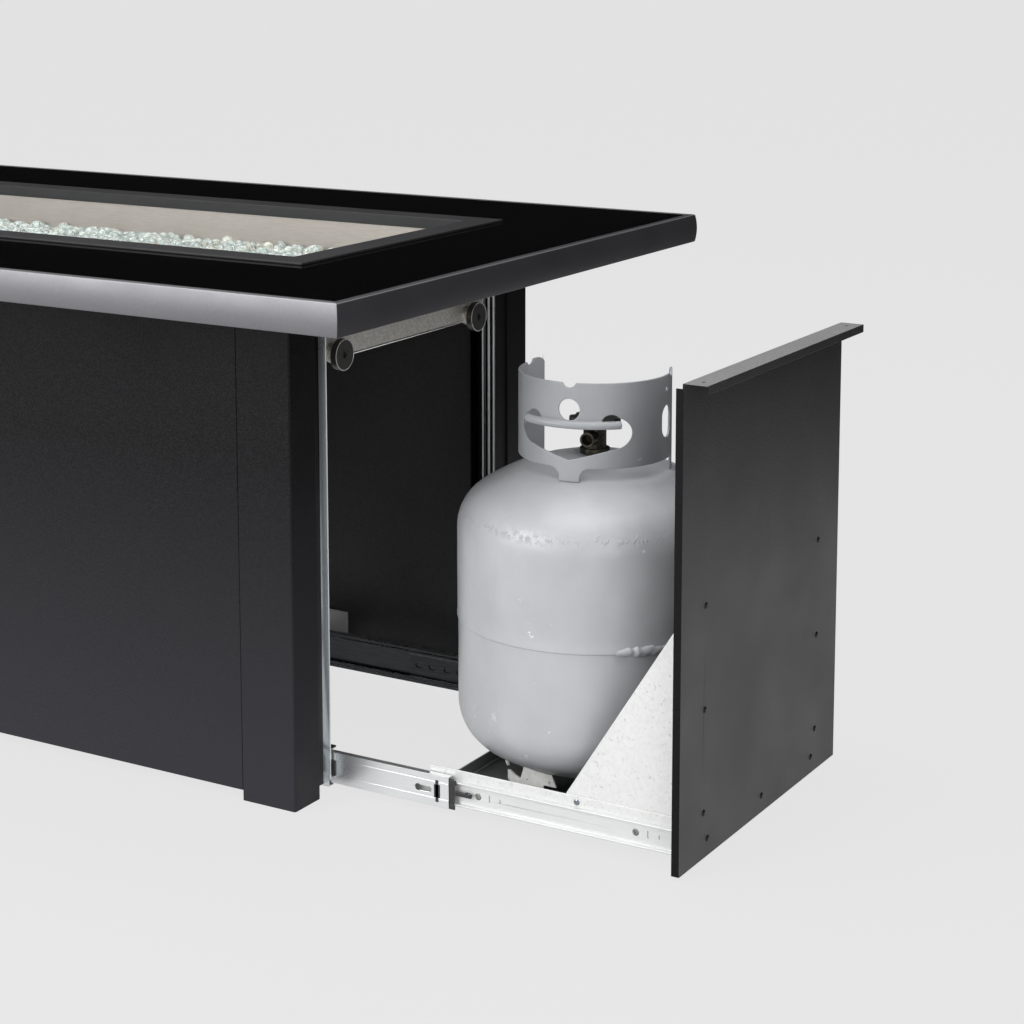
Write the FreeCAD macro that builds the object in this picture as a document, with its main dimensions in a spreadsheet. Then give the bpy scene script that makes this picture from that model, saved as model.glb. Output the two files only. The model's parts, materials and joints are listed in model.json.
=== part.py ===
import FreeCAD, Part
import math
import os
from types import SimpleNamespace

import Sketcher

# Driving dimensions in millimetres. Angles are in degrees.
SIZES = {
    # Table top
    "top_length": 1505,
    "top_width": 803,
    "table_height": 606,
    "glass_thickness": 8,
    "deck_thickness": 2,
    "rail_height": 35,
    "rail_width": 30,
    "rail_lip": 12,
    "rail_bulge": 2,
    "rail_wall": 4,
    "rail_roof": 4,
    "glass_seat": 10,
    "glass_gap": 0.3,
    "frame_tube": 30,
    "frame_wall": 2,
    # Burner
    "trim_length": 1151,
    "trim_width": 428,
    "trim_band": 36,
    "trim_rise": 3,
    "trim_sheet": 1.5,
    "trim_skirt": 14,
    "pan_gap": 0.5,
    "pan_sheet": 1.5,
    "pan_depth": 76,
    "pan_flange": 20,
    "cutout_gap": 3,
    "bed_height": 31,
    "bed_crown": 7,
    "bed_gap": 0.3,
    "bed_setback": 60,
    "chunk_radius": 17,
    "chunk_height": 5.5,
    "chunk_sink": 2,
    "chunk_taper": 40,
    "chunk_margin": 26,
    "chunk_pitch": 65,
    "chunk_count": 15,
    "burner_radius": 9.5,
    "burner_wall": 1.5,
    "burner_tube_length": 860,
    "burner_lift": 3,
    "port_radius": 1.5,
    "port_count": 24,
    "port_inset": 40,
    "inlet_radius": 8,
    "inlet_bore": 4,
    "inlet_drop": 18,
    "inlet_collar_radius": 13,
    "inlet_collar_height": 6,
    "electrode_radius": 3,
    "electrode_height": 24,
    "electrode_foot_radius": 9,
    "electrode_foot_height": 3,
    "electrode_inset": 24,
    "pipe_radius": 6,
    "pipe_bore": 4,
    "pipe_bend": 30,
    # Base
    "base_length": 1172,
    "base_width": 508,
    "sheet": 2,
    "post_side": 72,
    "post_end": 47,
    "post_return": 20,
    "post_corner": 3,
    "foot_plate": 3,
    "panel_gap": 0.3,
    "panel_lift": 12,
    "panel_flange": 15,
    # Drawer opening
    "upright_setback": 2.5,
    "upright_width": 19,
    "upright_lip": 5,
    "upright_lift": 14,
    "catch_bar_height": 82,
    "catch_bar_sheet": 2,
    "catch_bar_half": 200,
    "catch_bar_flange": 14,
    "catch_bar_hem": 8,
    "magnet_setback": 3,
    "magnet_radius": 18,
    "magnet_rim": 1.2,
    "magnet_height": 8,
    "magnet_core_drop": 0.4,
    "magnet_spacing": 288,
    "magnet_lift": 8,
    "magnet_gap": 0.4,
    "magnet_screw_radius": 3,
    "magnet_head_radius": 5.5,
    "magnet_head_height": 3,
    "magnet_socket_radius": 2.2,
    "magnet_socket_depth": 2,
    "spacer_radius": 11,
    "keeper_radius": 14,
    # Telescopic slides
    "slide_level": 27,
    "slide_setback": 6,
    "slide_half_spacing": 181,
    "slide_height": 45.5,
    "slide_depth": 12.7,
    "slide_length": 457,
    "slide_sheet": 1.2,
    "outer_lip": 3.4,
    "outer_depth": 10,
    "middle_height": 36.4,
    "middle_offset": 3,
    "middle_depth": 7.9,
    "middle_lip": 1.6,
    "middle_travel": 158,
    "inner_height": 26.4,
    "inner_depth": 6.9,
    "cage_sheet": 0.8,
    "cage_length": 160,
    "cage_gap": 0.4,
    "outer_cage_setback": 60,
    "inner_cage_setback": 118,
    "ball_count": 5,
    "ball_clearance": 0.3,
    "rail_hole_radius": 4,
    "rail_hole_inset": 40,
    "bracket_length": 57,
    "bracket_height": 32,
    "bracket_lift": 20,
    "bracket_setback": 277,
    "stop_width": 12,
    "stop_thickness": 1.2,
    # Drawer
    "drawer_travel": 440,
    "door_gap": 0.3,
    "door_width": 409,
    "door_drop": 50,
    "door_bottom": 4,
    "door_sheet": 1.5,
    "door_return": 9,
    "handle_depth": 26.5,
    "handle_lip": 9,
    "handle_hole_radius": 2,
    "handle_hole_inset": 18,
    "tray_sheet": 1.5,
    "tray_level": 10,
    "tray_wall_height": 42,
    "tray_length": 324,
    "tray_back_height": 16,
    "tray_front_height": 26,
    "gusset_sheet": 1.5,
    "gusset_length": 152,
    "gusset_top": 288,
    "gusset_flange": 26,
    "screw_radius": 2,
    "screw_gap": 0.2,
    "screw_head_radius": 4,
    "screw_head_height": 1.6,
    "low_head_radius": 3.6,
    "low_head_height": 1,
    "door_screw_offset": 147,
    "door_screw_low": 54,
    "door_screw_pitch": 112,
    "door_screw_row": 23,
    "door_screw_row_pitch": 137,
    "tray_screw_setback": 138,
    "tray_screw_level": 45,
    "rail_screw_setback": 55,
    "rail_screw_pitch": 194,
    # Gas cylinder
    "tank_radius": 155,
    "tank_wall": 3,
    "tank_setback": 210.5,
    "tank_knuckle": 55,
    "tank_head": 84.5,
    "tank_straight": 200.5,
    "tank_joggle": 0.8,
    "tank_foot_gap": 5,
    "foot_radius": 101,
    "foot_wall": 3,
    "foot_window": 84,
    "foot_window_height": 14,
    "foot_window_count": 4,
    "foot_turn": 20,
    "tank_turn": 9,
    "collar_radius": 86,
    "collar_wall": 2.5,
    "collar_gap_angle": 126,
    "collar_height": 95,
    "collar_lug": 2,
    "collar_lug_width": 26,
    "collar_lug_round": 10,
    "collar_scallop_radius": 8,
    "collar_tab_drop": 15,
    "collar_tab_half": 12,
    "collar_tab_round": 11,
    "rim_notch_radius": 8,
    "rim_notch_lift": 2.5,
    "grip_level": 9,
    "grip_height": 40,
    "grip_half_width": 60,
    "grip_top_half": 52,
    "grip_lobe_middle": 45,
    "grip_lobe_start": 35,
    "grip_lobe_rise": 11,
    "grip_lobe_side": 7,
    "grip_low_half": 45,
    "grip_shoulder": 12,
    "grip_bar_radius": 4.5,
    "grip_bar_angle": 76,
    "collar_hole_radius": 12,
    "collar_hole_drop": 30,
    "side_hole_radius": 12,
    "side_hole_length": 36,
    "side_hole_level": 43,
    "side_hole_turn": 87,
    "pin_hole_radius": 3,
    "pin_hole_level": 80,
    "valve_base_radius": 17,
    "valve_base_height": 6,
    "valve_radius": 13,
    "valve_height": 28,
    "outlet_radius": 8.5,
    "outlet_bore": 6,
    "outlet_reach": 27,
    "outlet_depth": 15,
    "outlet_level": 19,
    "wheel_radius": 29,
    "wheel_height": 8,
    "wheel_lobes": 6,
    "wheel_scallop": 8,
    "wheel_boss_radius": 9,
    "wheel_boss_height": 5,
    "wheel_gap": 0.3,
    # Controls on the closed end
    "control_drop": 141,
    "control_spacing": 90,
    "knob_radius": 22,
    "knob_grip_radius": 17,
    "knob_height": 26,
    "knob_skirt": 7,
    "knob_gap": 0.3,
    "stem_radius": 4,
    "stem_length": 20,
    "stem_gap": 0.3,
    "valve_block_radius": 15,
    "valve_block_length": 42,
    "block_gap": 0.3,
    "button_radius": 8,
    "button_reach": 9,
    "button_length": 18,
    "button_travel": 4,
    "button_gap": 0.3,
    "housing_radius": 13,
    "housing_barrel": 10.5,
    "housing_flange": 3,
    "housing_length": 34,
}

os.makedirs("parts", exist_ok=True)
doc = FreeCAD.newDocument("fire_pit_table")
sheet = doc.addObject("Spreadsheet::Sheet", "Sizes")
nodes = []
up = FreeCAD.Vector(0, 0, 1)
across = FreeCAD.Vector(0, 1, 0)
along = FreeCAD.Vector(1, 0, 0)


# A length that carries its value and the sheet expression that gives it.
class Size:
    def __init__(self, value, text):
        self.value = value
        self.text = text

    def join(self, other, sign, value):
        return Size(value, "(%s %s %s)" % (self.text, sign, other.text))

    def __add__(self, other):
        other = size(other)
        return self.join(other, "+", self.value + other.value)

    def __sub__(self, other):
        other = size(other)
        return self.join(other, "-", self.value - other.value)

    def __mul__(self, other):
        other = size(other)
        return self.join(other, "*", self.value * other.value)

    def __truediv__(self, other):
        other = size(other)
        return self.join(other, "/", self.value / other.value)

    def __radd__(self, other):
        return size(other) + self

    def __rsub__(self, other):
        return size(other) - self

    def __rmul__(self, other):
        return size(other) * self

    def __neg__(self):
        return size(-1) * self

    def root(self):
        return Size(math.sqrt(self.value), "sqrt(%s)" % self.text)

    def cosine(self):
        return Size(math.cos(math.radians(self.value)), "cos(%s)" % self.text)


def size(number):
    if isinstance(number, Size):
        return number
    return Size(float(number), "(%r)" % number)


def fill_sheet():
    named = {}
    for row, (alias, value) in enumerate(SIZES.items(), start=1):
        sheet.set("A%d" % row, alias)
        sheet.set("B%d" % row, str(value))
        sheet.setAlias("B%d" % row, alias)
        named[alias] = Size(float(value), "Sizes." + alias)
    doc.recompute()
    return SimpleNamespace(**named)


d = fill_sheet()


# Document helpers


def bind(item, prop, amount):
    item.setExpression(prop, size(amount).text)


def place(item, x=0, y=0, z=0, axis=up, turn=0):
    spot = [size(value) for value in (x, y, z)]
    base = FreeCAD.Vector(*[value.value for value in spot])
    item.Placement = FreeCAD.Placement(base, FreeCAD.Rotation(axis, size(turn).value))
    for letter, value in zip("xyz", spot):
        bind(item, "Placement.Base." + letter, value)


def node(item, name):
    item.Label = name
    nodes.append(item)
    return item


def new_body(name):
    return node(doc.addObject("PartDesign::Body", name), name)


def pin_point(sketch, index, position, point):
    for kind, amount in (("DistanceX", point[0]), ("DistanceY", point[1])):
        number = sketch.addConstraint(Sketcher.Constraint(kind, -1, 1, index, position, amount.value))
        bind(sketch, "Constraints[%d]" % number, amount)


def draw_line(sketch, start, end):
    spots = [FreeCAD.Vector(p[0].value, p[1].value, 0) for p in (start, end)]
    return sketch.addGeometry(Part.LineSegment(*spots), False)


# An arc from start to end, through a pinned middle point. A sketch keeps its arcs anticlockwise.
def draw_arc(sketch, start, middle, end):
    spots = [FreeCAD.Vector(p[0].value, p[1].value, 0) for p in (start, middle, end)]
    forward = (spots[2] - spots[0]).cross(spots[1] - spots[0]).z < 0
    index = sketch.addGeometry(Part.Arc(*(spots if forward else reversed(spots))), False)
    dot = sketch.addGeometry(Part.Point(spots[1]), True)
    pin_point(sketch, dot, 1, middle)
    sketch.addConstraint(Sketcher.Constraint("PointOnObject", dot, 1, index))
    return index, forward


# A closed loop. A point's third entry makes the edge that leaves it an arc through that entry.
def draw_loop(sketch, points):
    spots = [(size(p[0]), size(p[1])) for p in points]
    ends = []
    for i, point in enumerate(points):
        start, end = spots[i], spots[(i + 1) % len(spots)]
        if len(point) == 3:
            middle = (size(point[2][0]), size(point[2][1]))
            index, forward = draw_arc(sketch, start, middle, end)
        else:
            index, forward = draw_line(sketch, start, end), True
        ends.append((index, 1, 2) if forward else (index, 2, 1))
    for i, (index, first, last) in enumerate(ends):
        following, entry, _ = ends[(i + 1) % len(ends)]
        sketch.addConstraint(Sketcher.Constraint("Coincident", index, last, following, entry))
        pin_point(sketch, index, first, spots[i])


def draw_circle(sketch, x, y, radius):
    x, y, radius = size(x), size(y), size(radius)
    circle = Part.Circle(FreeCAD.Vector(x.value, y.value, 0), up, radius.value)
    index = sketch.addGeometry(circle, False)
    pin_point(sketch, index, 3, (x, y))
    number = sketch.addConstraint(Sketcher.Constraint("Radius", index, radius.value))
    bind(sketch, "Constraints[%d]" % number, radius)


def new_sketch(body, plane, loops=(), circles=(), lift=0, turn=0):
    support = [f for f in body.Origin.OriginFeatures if f.Role == plane][0]
    sketch = body.newObject("Sketcher::SketchObject", body.Label + "_sketch")
    sketch.AttachmentSupport = [(support, "")]
    sketch.MapMode = "FlatFace"
    turned = FreeCAD.Rotation(across, size(turn).value)
    sketch.AttachmentOffset = FreeCAD.Placement(FreeCAD.Vector(), turned)
    bind(sketch, "AttachmentOffset.Base.z", lift)
    for loop in loops:
        draw_loop(sketch, loop)
    for circle in circles:
        draw_circle(sketch, *circle)
    return sketch


def pad(body, sketch, length, back=False, middle=False, taper=0):
    feature = body.newObject("PartDesign::Pad", body.Label + "_pad")
    feature.Profile = sketch
    bind(feature, "Length", length)
    bind(feature, "TaperAngle", taper)
    feature.Reversed = back
    feature.Midplane = middle
    doc.recompute()
    return feature


def pocket(body, sketch, length=None, back=False, middle=False):
    before = body.Shape.Volume
    feature = body.newObject("PartDesign::Pocket", body.Label + "_pocket")
    feature.Profile = sketch
    if length is None:
        feature.Type = "ThroughAll"
    else:
        bind(feature, "Length", length)
    feature.Reversed = back
    feature.Midplane = middle
    doc.recompute()
    if not body.Shape.Volume < before - 1e-6:
        raise RuntimeError("a pocket of %s cuts nothing" % body.Label)
    return feature


def revolve(body, sketch, angle=None):
    feature = body.newObject("PartDesign::Revolution", body.Label + "_turn")
    feature.Profile = sketch
    feature.ReferenceAxis = (sketch, ["V_Axis"])
    feature.Angle = 360
    if angle is not None:
        bind(feature, "Angle", angle)
        feature.Midplane = True
    doc.recompute()


def pattern(body, kind, feature, axis, count):
    line = [f for f in body.Origin.OriginFeatures if f.Role == axis][0]
    copies = body.newObject("PartDesign::" + kind, body.Label + "_pattern")
    copies.Originals = [feature]
    setattr(copies, "Axis" if kind == "PolarPattern" else "Direction", (line, [""]))
    bind(copies, "Occurrences", count)
    body.Tip = copies
    return copies


def repeat_round(body, feature, count):
    pattern(body, "PolarPattern", feature, "Z_Axis", count).Angle = 360
    doc.recompute()


def repeat_along(body, feature, span, count):
    bind(pattern(body, "LinearPattern", feature, "X_Axis", count), "Length", span)
    doc.recompute()


def corners(x_low, x_high, y_low, y_high):
    return [(x_low, y_low), (x_high, y_low), (x_high, y_high), (x_low, y_high)]


def rectangle(x, y, width, depth):
    x, y = size(x), size(y)
    return corners(x - width / 2, x + width / 2, y - depth / 2, y + depth / 2)


def polygon(x, y, radius, sides, start=0):
    turns = [start + math.tau * side / sides for side in range(sides)]
    return [(x + radius * math.cos(turn), y + radius * math.sin(turn)) for turn in turns]


def turned_body(name, profile):
    body = new_body(name)
    revolve(body, new_sketch(body, "XZ_Plane", [profile]))
    return body


# Several copies of one turned piece in one node, each leaning a quarter turn about an axis.
def turned_group(name, profile, spots, axis):
    copies = []
    for x, y, z, way in spots:
        body = doc.addObject("PartDesign::Body", name + "_one")
        revolve(body, new_sketch(body, "XZ_Plane", [profile]))
        place(body, x, y, z, axis, way * 90)
        copies.append(body)
    compound = doc.addObject("Part::Compound", name)
    compound.Links = copies
    node(compound, name)


# Shared levels and places

base_top = d.table_height - d.rail_height
catch_bar_bottom = base_top - d.catch_bar_height
magnet_level = catch_bar_bottom + d.magnet_lift
door_top = base_top - d.door_drop
control_level = base_top - d.control_drop
glass_bottom = d.table_height - d.glass_thickness
deck_bottom = glass_bottom - d.deck_thickness
door_proud = d.door_return - d.upright_setback + d.door_gap

# The drawer stands open, so the part's middle lies between the closed end and the handle.
end_overhang = (d.top_length - d.base_length) / 2
handle_reach = door_proud + d.drawer_travel + d.handle_depth - end_overhang
table_x = -handle_reach / 2
left_end = table_x - d.top_length / 2
right_end = table_x + d.top_length / 2
base_left = table_x - d.base_length / 2
base_right = table_x + d.base_length / 2
door_face = base_right + door_proud + d.drawer_travel

opening_length = d.trim_length - 2 * d.trim_band
opening_width = d.trim_width - 2 * d.trim_band
pan_inner_length = opening_length + 2 * (d.trim_sheet + d.pan_gap)
pan_inner_width = opening_width + 2 * (d.trim_sheet + d.pan_gap)
pan_length = pan_inner_length + 2 * d.pan_sheet
pan_width = pan_inner_width + 2 * d.pan_sheet
cutout_length = pan_length + 2 * d.cutout_gap
cutout_width = pan_width + 2 * d.cutout_gap
pan_floor = d.table_height - d.pan_depth + d.pan_sheet
screw_hole = d.screw_radius + d.screw_gap


# Table top


def edge_rail(name, length, x, y, turn):
    body = new_body(name)
    seat = d.rail_height - d.glass_thickness
    step = seat - d.deck_thickness
    outer_wall = d.rail_bulge + d.rail_wall
    inner_wall = d.rail_width - d.rail_wall
    section = [
        (d.rail_bulge, 0),
        (outer_wall, 0),
        (outer_wall, step - d.rail_roof),
        (inner_wall, step - d.rail_roof),
        (inner_wall, 0),
        (d.rail_width, 0),
        (d.rail_width, step),
        (d.rail_lip + d.glass_seat, step),
        (d.rail_lip + d.glass_seat, seat),
        (d.rail_lip, seat),
        (d.rail_lip, d.rail_height),
        (d.rail_bulge, d.rail_height, (0, d.rail_height / 2)),
    ]
    pad(body, new_sketch(body, "YZ_Plane", [section]), length)
    mitres = [
        [(0, 0), (d.rail_width, d.rail_width), (0, d.rail_width)],
        [(length, 0), (length, d.rail_width), (length - d.rail_width, d.rail_width)],
    ]
    pocket(body, new_sketch(body, "XY_Plane", mitres), back=True)
    place(body, x, y, base_top, up, turn)


def edge_rails():
    half = d.top_width / 2
    edge_rail("edge_rail_front", d.top_length, left_end, -half, 0)
    edge_rail("edge_rail_right", d.top_width, right_end, -half, 90)
    edge_rail("edge_rail_back", d.top_length, right_end, half, 180)
    edge_rail("edge_rail_left", d.top_width, left_end, half, 270)


def flat_ring(name, outer, inner, thickness, z):
    body = new_body(name)
    loops = [rectangle(0, 0, *outer), rectangle(0, 0, *inner)]
    pad(body, new_sketch(body, "XY_Plane", loops), thickness)
    place(body, table_x, 0, z)
    return body


def table_top():
    cutout = (cutout_length, cutout_width)
    inset = 2 * (d.rail_lip + d.glass_gap)
    pane = (d.top_length - inset, d.top_width - inset)
    flat_ring("glass_top", pane, cutout, d.glass_thickness, glass_bottom)
    inset = 2 * (d.rail_lip + d.glass_seat + d.glass_gap)
    plate = (d.top_length - inset, d.top_width - inset)
    flat_ring("top_deck", plate, cutout, d.deck_thickness, deck_bottom)


# The frame between the deck and the base: channel sections, open below.
def top_support_frame():
    outer = (d.base_length, d.base_width)
    inner = (d.base_length - 2 * d.frame_tube, d.base_width - 2 * d.frame_tube)
    height = deck_bottom - base_top
    body = flat_ring("top_support_frame", outer, inner, height, base_top)
    wall = 2 * d.frame_wall
    hollow = [
        rectangle(0, 0, outer[0] - wall, outer[1] - wall),
        rectangle(0, 0, inner[0] + wall, inner[1] + wall),
    ]
    pocket(body, new_sketch(body, "XY_Plane", hollow), height - d.frame_wall, back=True)


# Burner


def burner_trim():
    body = new_body("burner_trim")
    opening = rectangle(0, 0, opening_length, opening_width)
    outside = rectangle(0, 0, d.trim_length, d.trim_width)
    pad(body, new_sketch(body, "XY_Plane", [outside, opening]), d.trim_rise)
    wall = 2 * d.trim_sheet
    under = rectangle(0, 0, d.trim_length - wall, d.trim_width - wall)
    hollow = d.trim_rise - d.trim_sheet
    pocket(body, new_sketch(body, "XY_Plane", [under]), hollow, back=True)
    skirt = rectangle(0, 0, opening_length + wall, opening_width + wall)
    drop = d.trim_rise - d.trim_skirt
    pad(body, new_sketch(body, "XY_Plane", [skirt, opening], lift=drop), d.trim_skirt)
    place(body, table_x, 0, d.table_height)


def burner_pan():
    body = new_body("burner_pan")
    outside = rectangle(0, 0, pan_length, pan_width)
    inside = rectangle(0, 0, pan_inner_length, pan_inner_width)
    pad(body, new_sketch(body, "XY_Plane", [outside]), d.pan_depth, back=True)
    pocket(body, new_sketch(body, "XY_Plane", [inside]), d.pan_depth - d.pan_sheet)
    flange = rectangle(0, 0, pan_length + 2 * d.pan_flange, pan_width + 2 * d.pan_flange)
    pad(body, new_sketch(body, "XY_Plane", [flange, inside]), d.pan_sheet)
    circle = [(0, 0, d.inlet_radius)]
    hole = new_sketch(body, "XY_Plane", circles=circle, lift=-d.pan_depth)
    pocket(body, hole, d.pan_sheet, back=True)
    place(body, table_x, 0, d.table_height)


def burner_tube():
    body = new_body("burner_tube")
    length = d.burner_tube_length
    pad(body, new_sketch(body, "YZ_Plane", circles=[(0, 0, d.burner_radius)]), length)
    circle = [(0, 0, d.burner_radius - d.burner_wall)]
    bore = new_sketch(body, "YZ_Plane", circles=circle, lift=d.burner_wall)
    pocket(body, bore, length - 2 * d.burner_wall, back=True)
    port = new_sketch(body, "XY_Plane", circles=[(d.port_inset, 0, d.port_radius)])
    cut = pocket(body, port, back=True)
    repeat_along(body, cut, length - 2 * d.port_inset, d.port_count)
    level = pan_floor + d.burner_lift + d.burner_radius
    place(body, table_x - length / 2, 0, level)


def burner_inlet():
    shoulder = -d.pan_sheet
    foot = shoulder - d.inlet_drop
    neck = d.inlet_radius - d.screw_gap
    profile = [
        (d.inlet_bore, foot),
        (d.inlet_radius, foot),
        (d.inlet_radius, shoulder - d.inlet_collar_height),
        (d.inlet_collar_radius, shoulder - d.inlet_collar_height),
        (d.inlet_collar_radius, shoulder),
        (neck, shoulder),
        (neck, d.burner_lift),
        (d.inlet_bore, d.burner_lift),
    ]
    place(turned_body("burner_inlet", profile), table_x, 0, pan_floor)


# Larger pieces that lie on the bed in staggered rows, six-sided and narrowing upward.
def bed_chunks(body, length, half):
    step = (length - 2 * d.chunk_margin) / (d.chunk_count - 0.5)
    for row in (-2, -1, 0, 1, 2):
        x = d.chunk_margin + row % 2 * step / 2
        y = row * d.chunk_pitch
        surface = d.bed_height - d.bed_crown * y * y / (half * half)
        outline = polygon(x, y, d.chunk_radius, 6, row)
        sketch = new_sketch(body, "XY_Plane", [outline], lift=surface - d.chunk_sink)
        chunk = pad(body, sketch, d.chunk_height + d.chunk_sink, taper=-d.chunk_taper)
        repeat_along(body, chunk, step * (d.chunk_count - 1), d.chunk_count)


# The bed of fire glass, heaped along its middle and lying round the burner tube.
def fire_glass():
    body = new_body("fire_glass")
    half = pan_inner_width / 2 - d.bed_gap
    shoulder = d.bed_height - d.bed_crown
    channel = d.burner_radius + d.bed_gap
    roof = d.burner_lift + 2 * d.burner_radius + d.bed_gap
    section = [
        (-half, 0),
        (-channel, 0),
        (-channel, roof),
        (channel, roof),
        (channel, 0),
        (half, 0),
        (half, shoulder, (0, d.bed_height)),
        (-half, shoulder),
    ]
    length = pan_inner_length - d.bed_setback - d.bed_gap
    pad(body, new_sketch(body, "YZ_Plane", [section]), length)
    bed_chunks(body, length, half)
    place(body, table_x - pan_inner_length / 2 + d.bed_setback, 0, pan_floor)


def igniter_electrode():
    profile = [
        (0, 0),
        (d.electrode_foot_radius, 0),
        (d.electrode_foot_radius, d.electrode_foot_height),
        (d.electrode_radius, d.electrode_foot_height),
        (d.electrode_radius, d.electrode_height),
        (0, d.electrode_height),
    ]
    x = table_x - pan_inner_length / 2 + d.electrode_inset
    place(turned_body("igniter_electrode", profile), x, 0, pan_floor)


# The rigid pipe from the back of the control valve, along and up to the burner inlet.
def gas_pipe():
    body = new_body("gas_pipe")
    start = base_left + d.valve_block_length
    run = table_x - start
    rise = pan_floor - d.pan_sheet - d.inlet_drop - control_level
    bend = d.pipe_bend
    rings = [(0, 0, d.pipe_radius), (0, 0, d.pipe_bore)]
    pad(body, new_sketch(body, "YZ_Plane", circles=rings), run - bend)
    path = [(0, -bend, d.pipe_radius), (0, -bend, d.pipe_bore)]
    sketch = new_sketch(body, "YZ_Plane", circles=path, lift=run - bend)
    bind(sketch, "AttachmentOffset.Base.y", bend)
    elbow = body.newObject("PartDesign::Revolution", "gas_pipe_elbow")
    elbow.Profile = sketch
    elbow.ReferenceAxis = (sketch, ["H_Axis"])
    elbow.Angle = 90
    elbow.Reversed = True
    doc.recompute()
    sketch = new_sketch(body, "XY_Plane", circles=rings, lift=bend)
    bind(sketch, "AttachmentOffset.Base.x", run)
    pad(body, sketch, rise - bend)
    place(body, start, 0, control_level)


# Base


def corner_post(name, x, y, x_way, y_way):
    body = new_body(name)
    t = d.sheet
    inset = d.post_corner * (1 - math.sqrt(0.5))
    angle = [
        (d.post_corner, 0),
        (d.post_side, 0),
        (d.post_side, d.post_return),
        (d.post_side - t, d.post_return),
        (d.post_side - t, t),
        (d.post_corner, t),
        (t, d.post_corner),
        (t, d.post_end - t),
        (d.post_return, d.post_end - t),
        (d.post_return, d.post_end),
        (0, d.post_end),
        (0, d.post_corner, (inset, inset)),
    ]
    section = []
    for point in angle:
        spot = [x_way * size(point[0]), y_way * size(point[1])]
        if len(point) == 3:
            spot.append((x_way * point[2][0], y_way * point[2][1]))
        section.append(tuple(spot))
    pad(body, new_sketch(body, "XY_Plane", [section]), base_top)
    foot = corners(x_way * t, x_way * (d.post_side - t), y_way * t, y_way * (d.post_end - t))
    pad(body, new_sketch(body, "XY_Plane", [foot]), d.foot_plate)
    place(body, x, y, 0)


def corner_posts():
    half = d.base_width / 2
    corner_post("post_front_right", base_right, -half, -1, 1)
    corner_post("post_back_right", base_right, half, -1, -1)
    corner_post("post_front_left", base_left, -half, 1, 1)
    corner_post("post_back_left", base_left, half, 1, -1)


# A folded sheet panel. Its face looks along the local -Y and its four flanges point inward.
def wall_panel(name, length, x, y, turn, holes=()):
    body = new_body(name)
    height = base_top - d.panel_lift
    outside = rectangle(0, height / 2, length, height)
    pad(body, new_sketch(body, "XZ_Plane", [outside]), d.panel_flange, back=True)
    inside = rectangle(0, height / 2, length - 2 * d.sheet, height - 2 * d.sheet)
    hollow = new_sketch(body, "XZ_Plane", [inside], lift=-d.sheet)
    pocket(body, hollow, d.panel_flange - d.sheet)
    if holes:
        pocket(body, new_sketch(body, "XZ_Plane", circles=holes), d.sheet)
    place(body, x, y, d.panel_lift, up, turn)


def wall_panels():
    half = d.base_width / 2
    side = d.base_length - 2 * (d.post_side + d.panel_gap)
    end = d.base_width - 2 * (d.post_end + d.panel_gap)
    level = control_level - d.panel_lift
    holes = [
        (0, level, d.valve_block_radius + d.block_gap),
        (-d.control_spacing, level, d.housing_barrel + d.block_gap),
    ]
    wall_panel("front_panel", side, table_x, -half, 0)
    wall_panel("back_panel", side, table_x, half, 180)
    wall_panel("left_panel", end, base_left, 0, 270, holes)


# Drawer opening


# A lipped channel beside the drawer opening, open towards the drawer.
def upright(name, side):
    body = new_body(name)
    t = d.sheet
    outer = d.base_width / 2 - d.post_end
    inner = d.slide_half_spacing
    back = -d.upright_width
    channel = [
        (0, outer),
        (0, inner),
        (-d.upright_lip, inner),
        (-d.upright_lip, inner + t),
        (-t, inner + t),
        (-t, outer - t),
        (back + t, outer - t),
        (back + t, inner + t),
        (back + d.upright_lip, inner + t),
        (back + d.upright_lip, inner),
        (back, inner),
        (back, outer),
    ]
    section = [(u, side * v) for u, v in channel]
    pad(body, new_sketch(body, "XY_Plane", [section]), base_top - d.upright_lift)
    place(body, base_right - d.upright_setback, 0, d.upright_lift)


magnet_face = base_right - d.magnet_setback
bar_face = base_right - d.upright_setback - d.upright_width
spacer_length = magnet_face - d.magnet_height - bar_face
magnet_seat = d.magnet_height - d.magnet_core_drop - d.magnet_head_height


def magnet_spots(x):
    return [(x, side * d.magnet_spacing / 2, magnet_level, 1) for side in (-1, 1)]


# The folded bar across the back of both uprights, which carries the magnets.
def catch_bar():
    body = new_body("catch_bar")
    t = d.catch_bar_sheet
    height = d.catch_bar_height
    section = [
        (0, 0),
        (0, height),
        (-d.catch_bar_flange, height),
        (-d.catch_bar_flange, height - t),
        (-t, height - t),
        (-t, t),
        (-d.catch_bar_hem, t),
        (-d.catch_bar_hem, 0),
    ]
    length = 2 * d.catch_bar_half
    pad(body, new_sketch(body, "XZ_Plane", [section]), length, middle=True)
    radius = d.magnet_screw_radius + d.screw_gap
    circles = [(side * d.magnet_spacing / 2, d.magnet_lift, radius) for side in (-1, 1)]
    pocket(body, new_sketch(body, "YZ_Plane", circles=circles), t)
    place(body, bar_face, 0, catch_bar_bottom)


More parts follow.
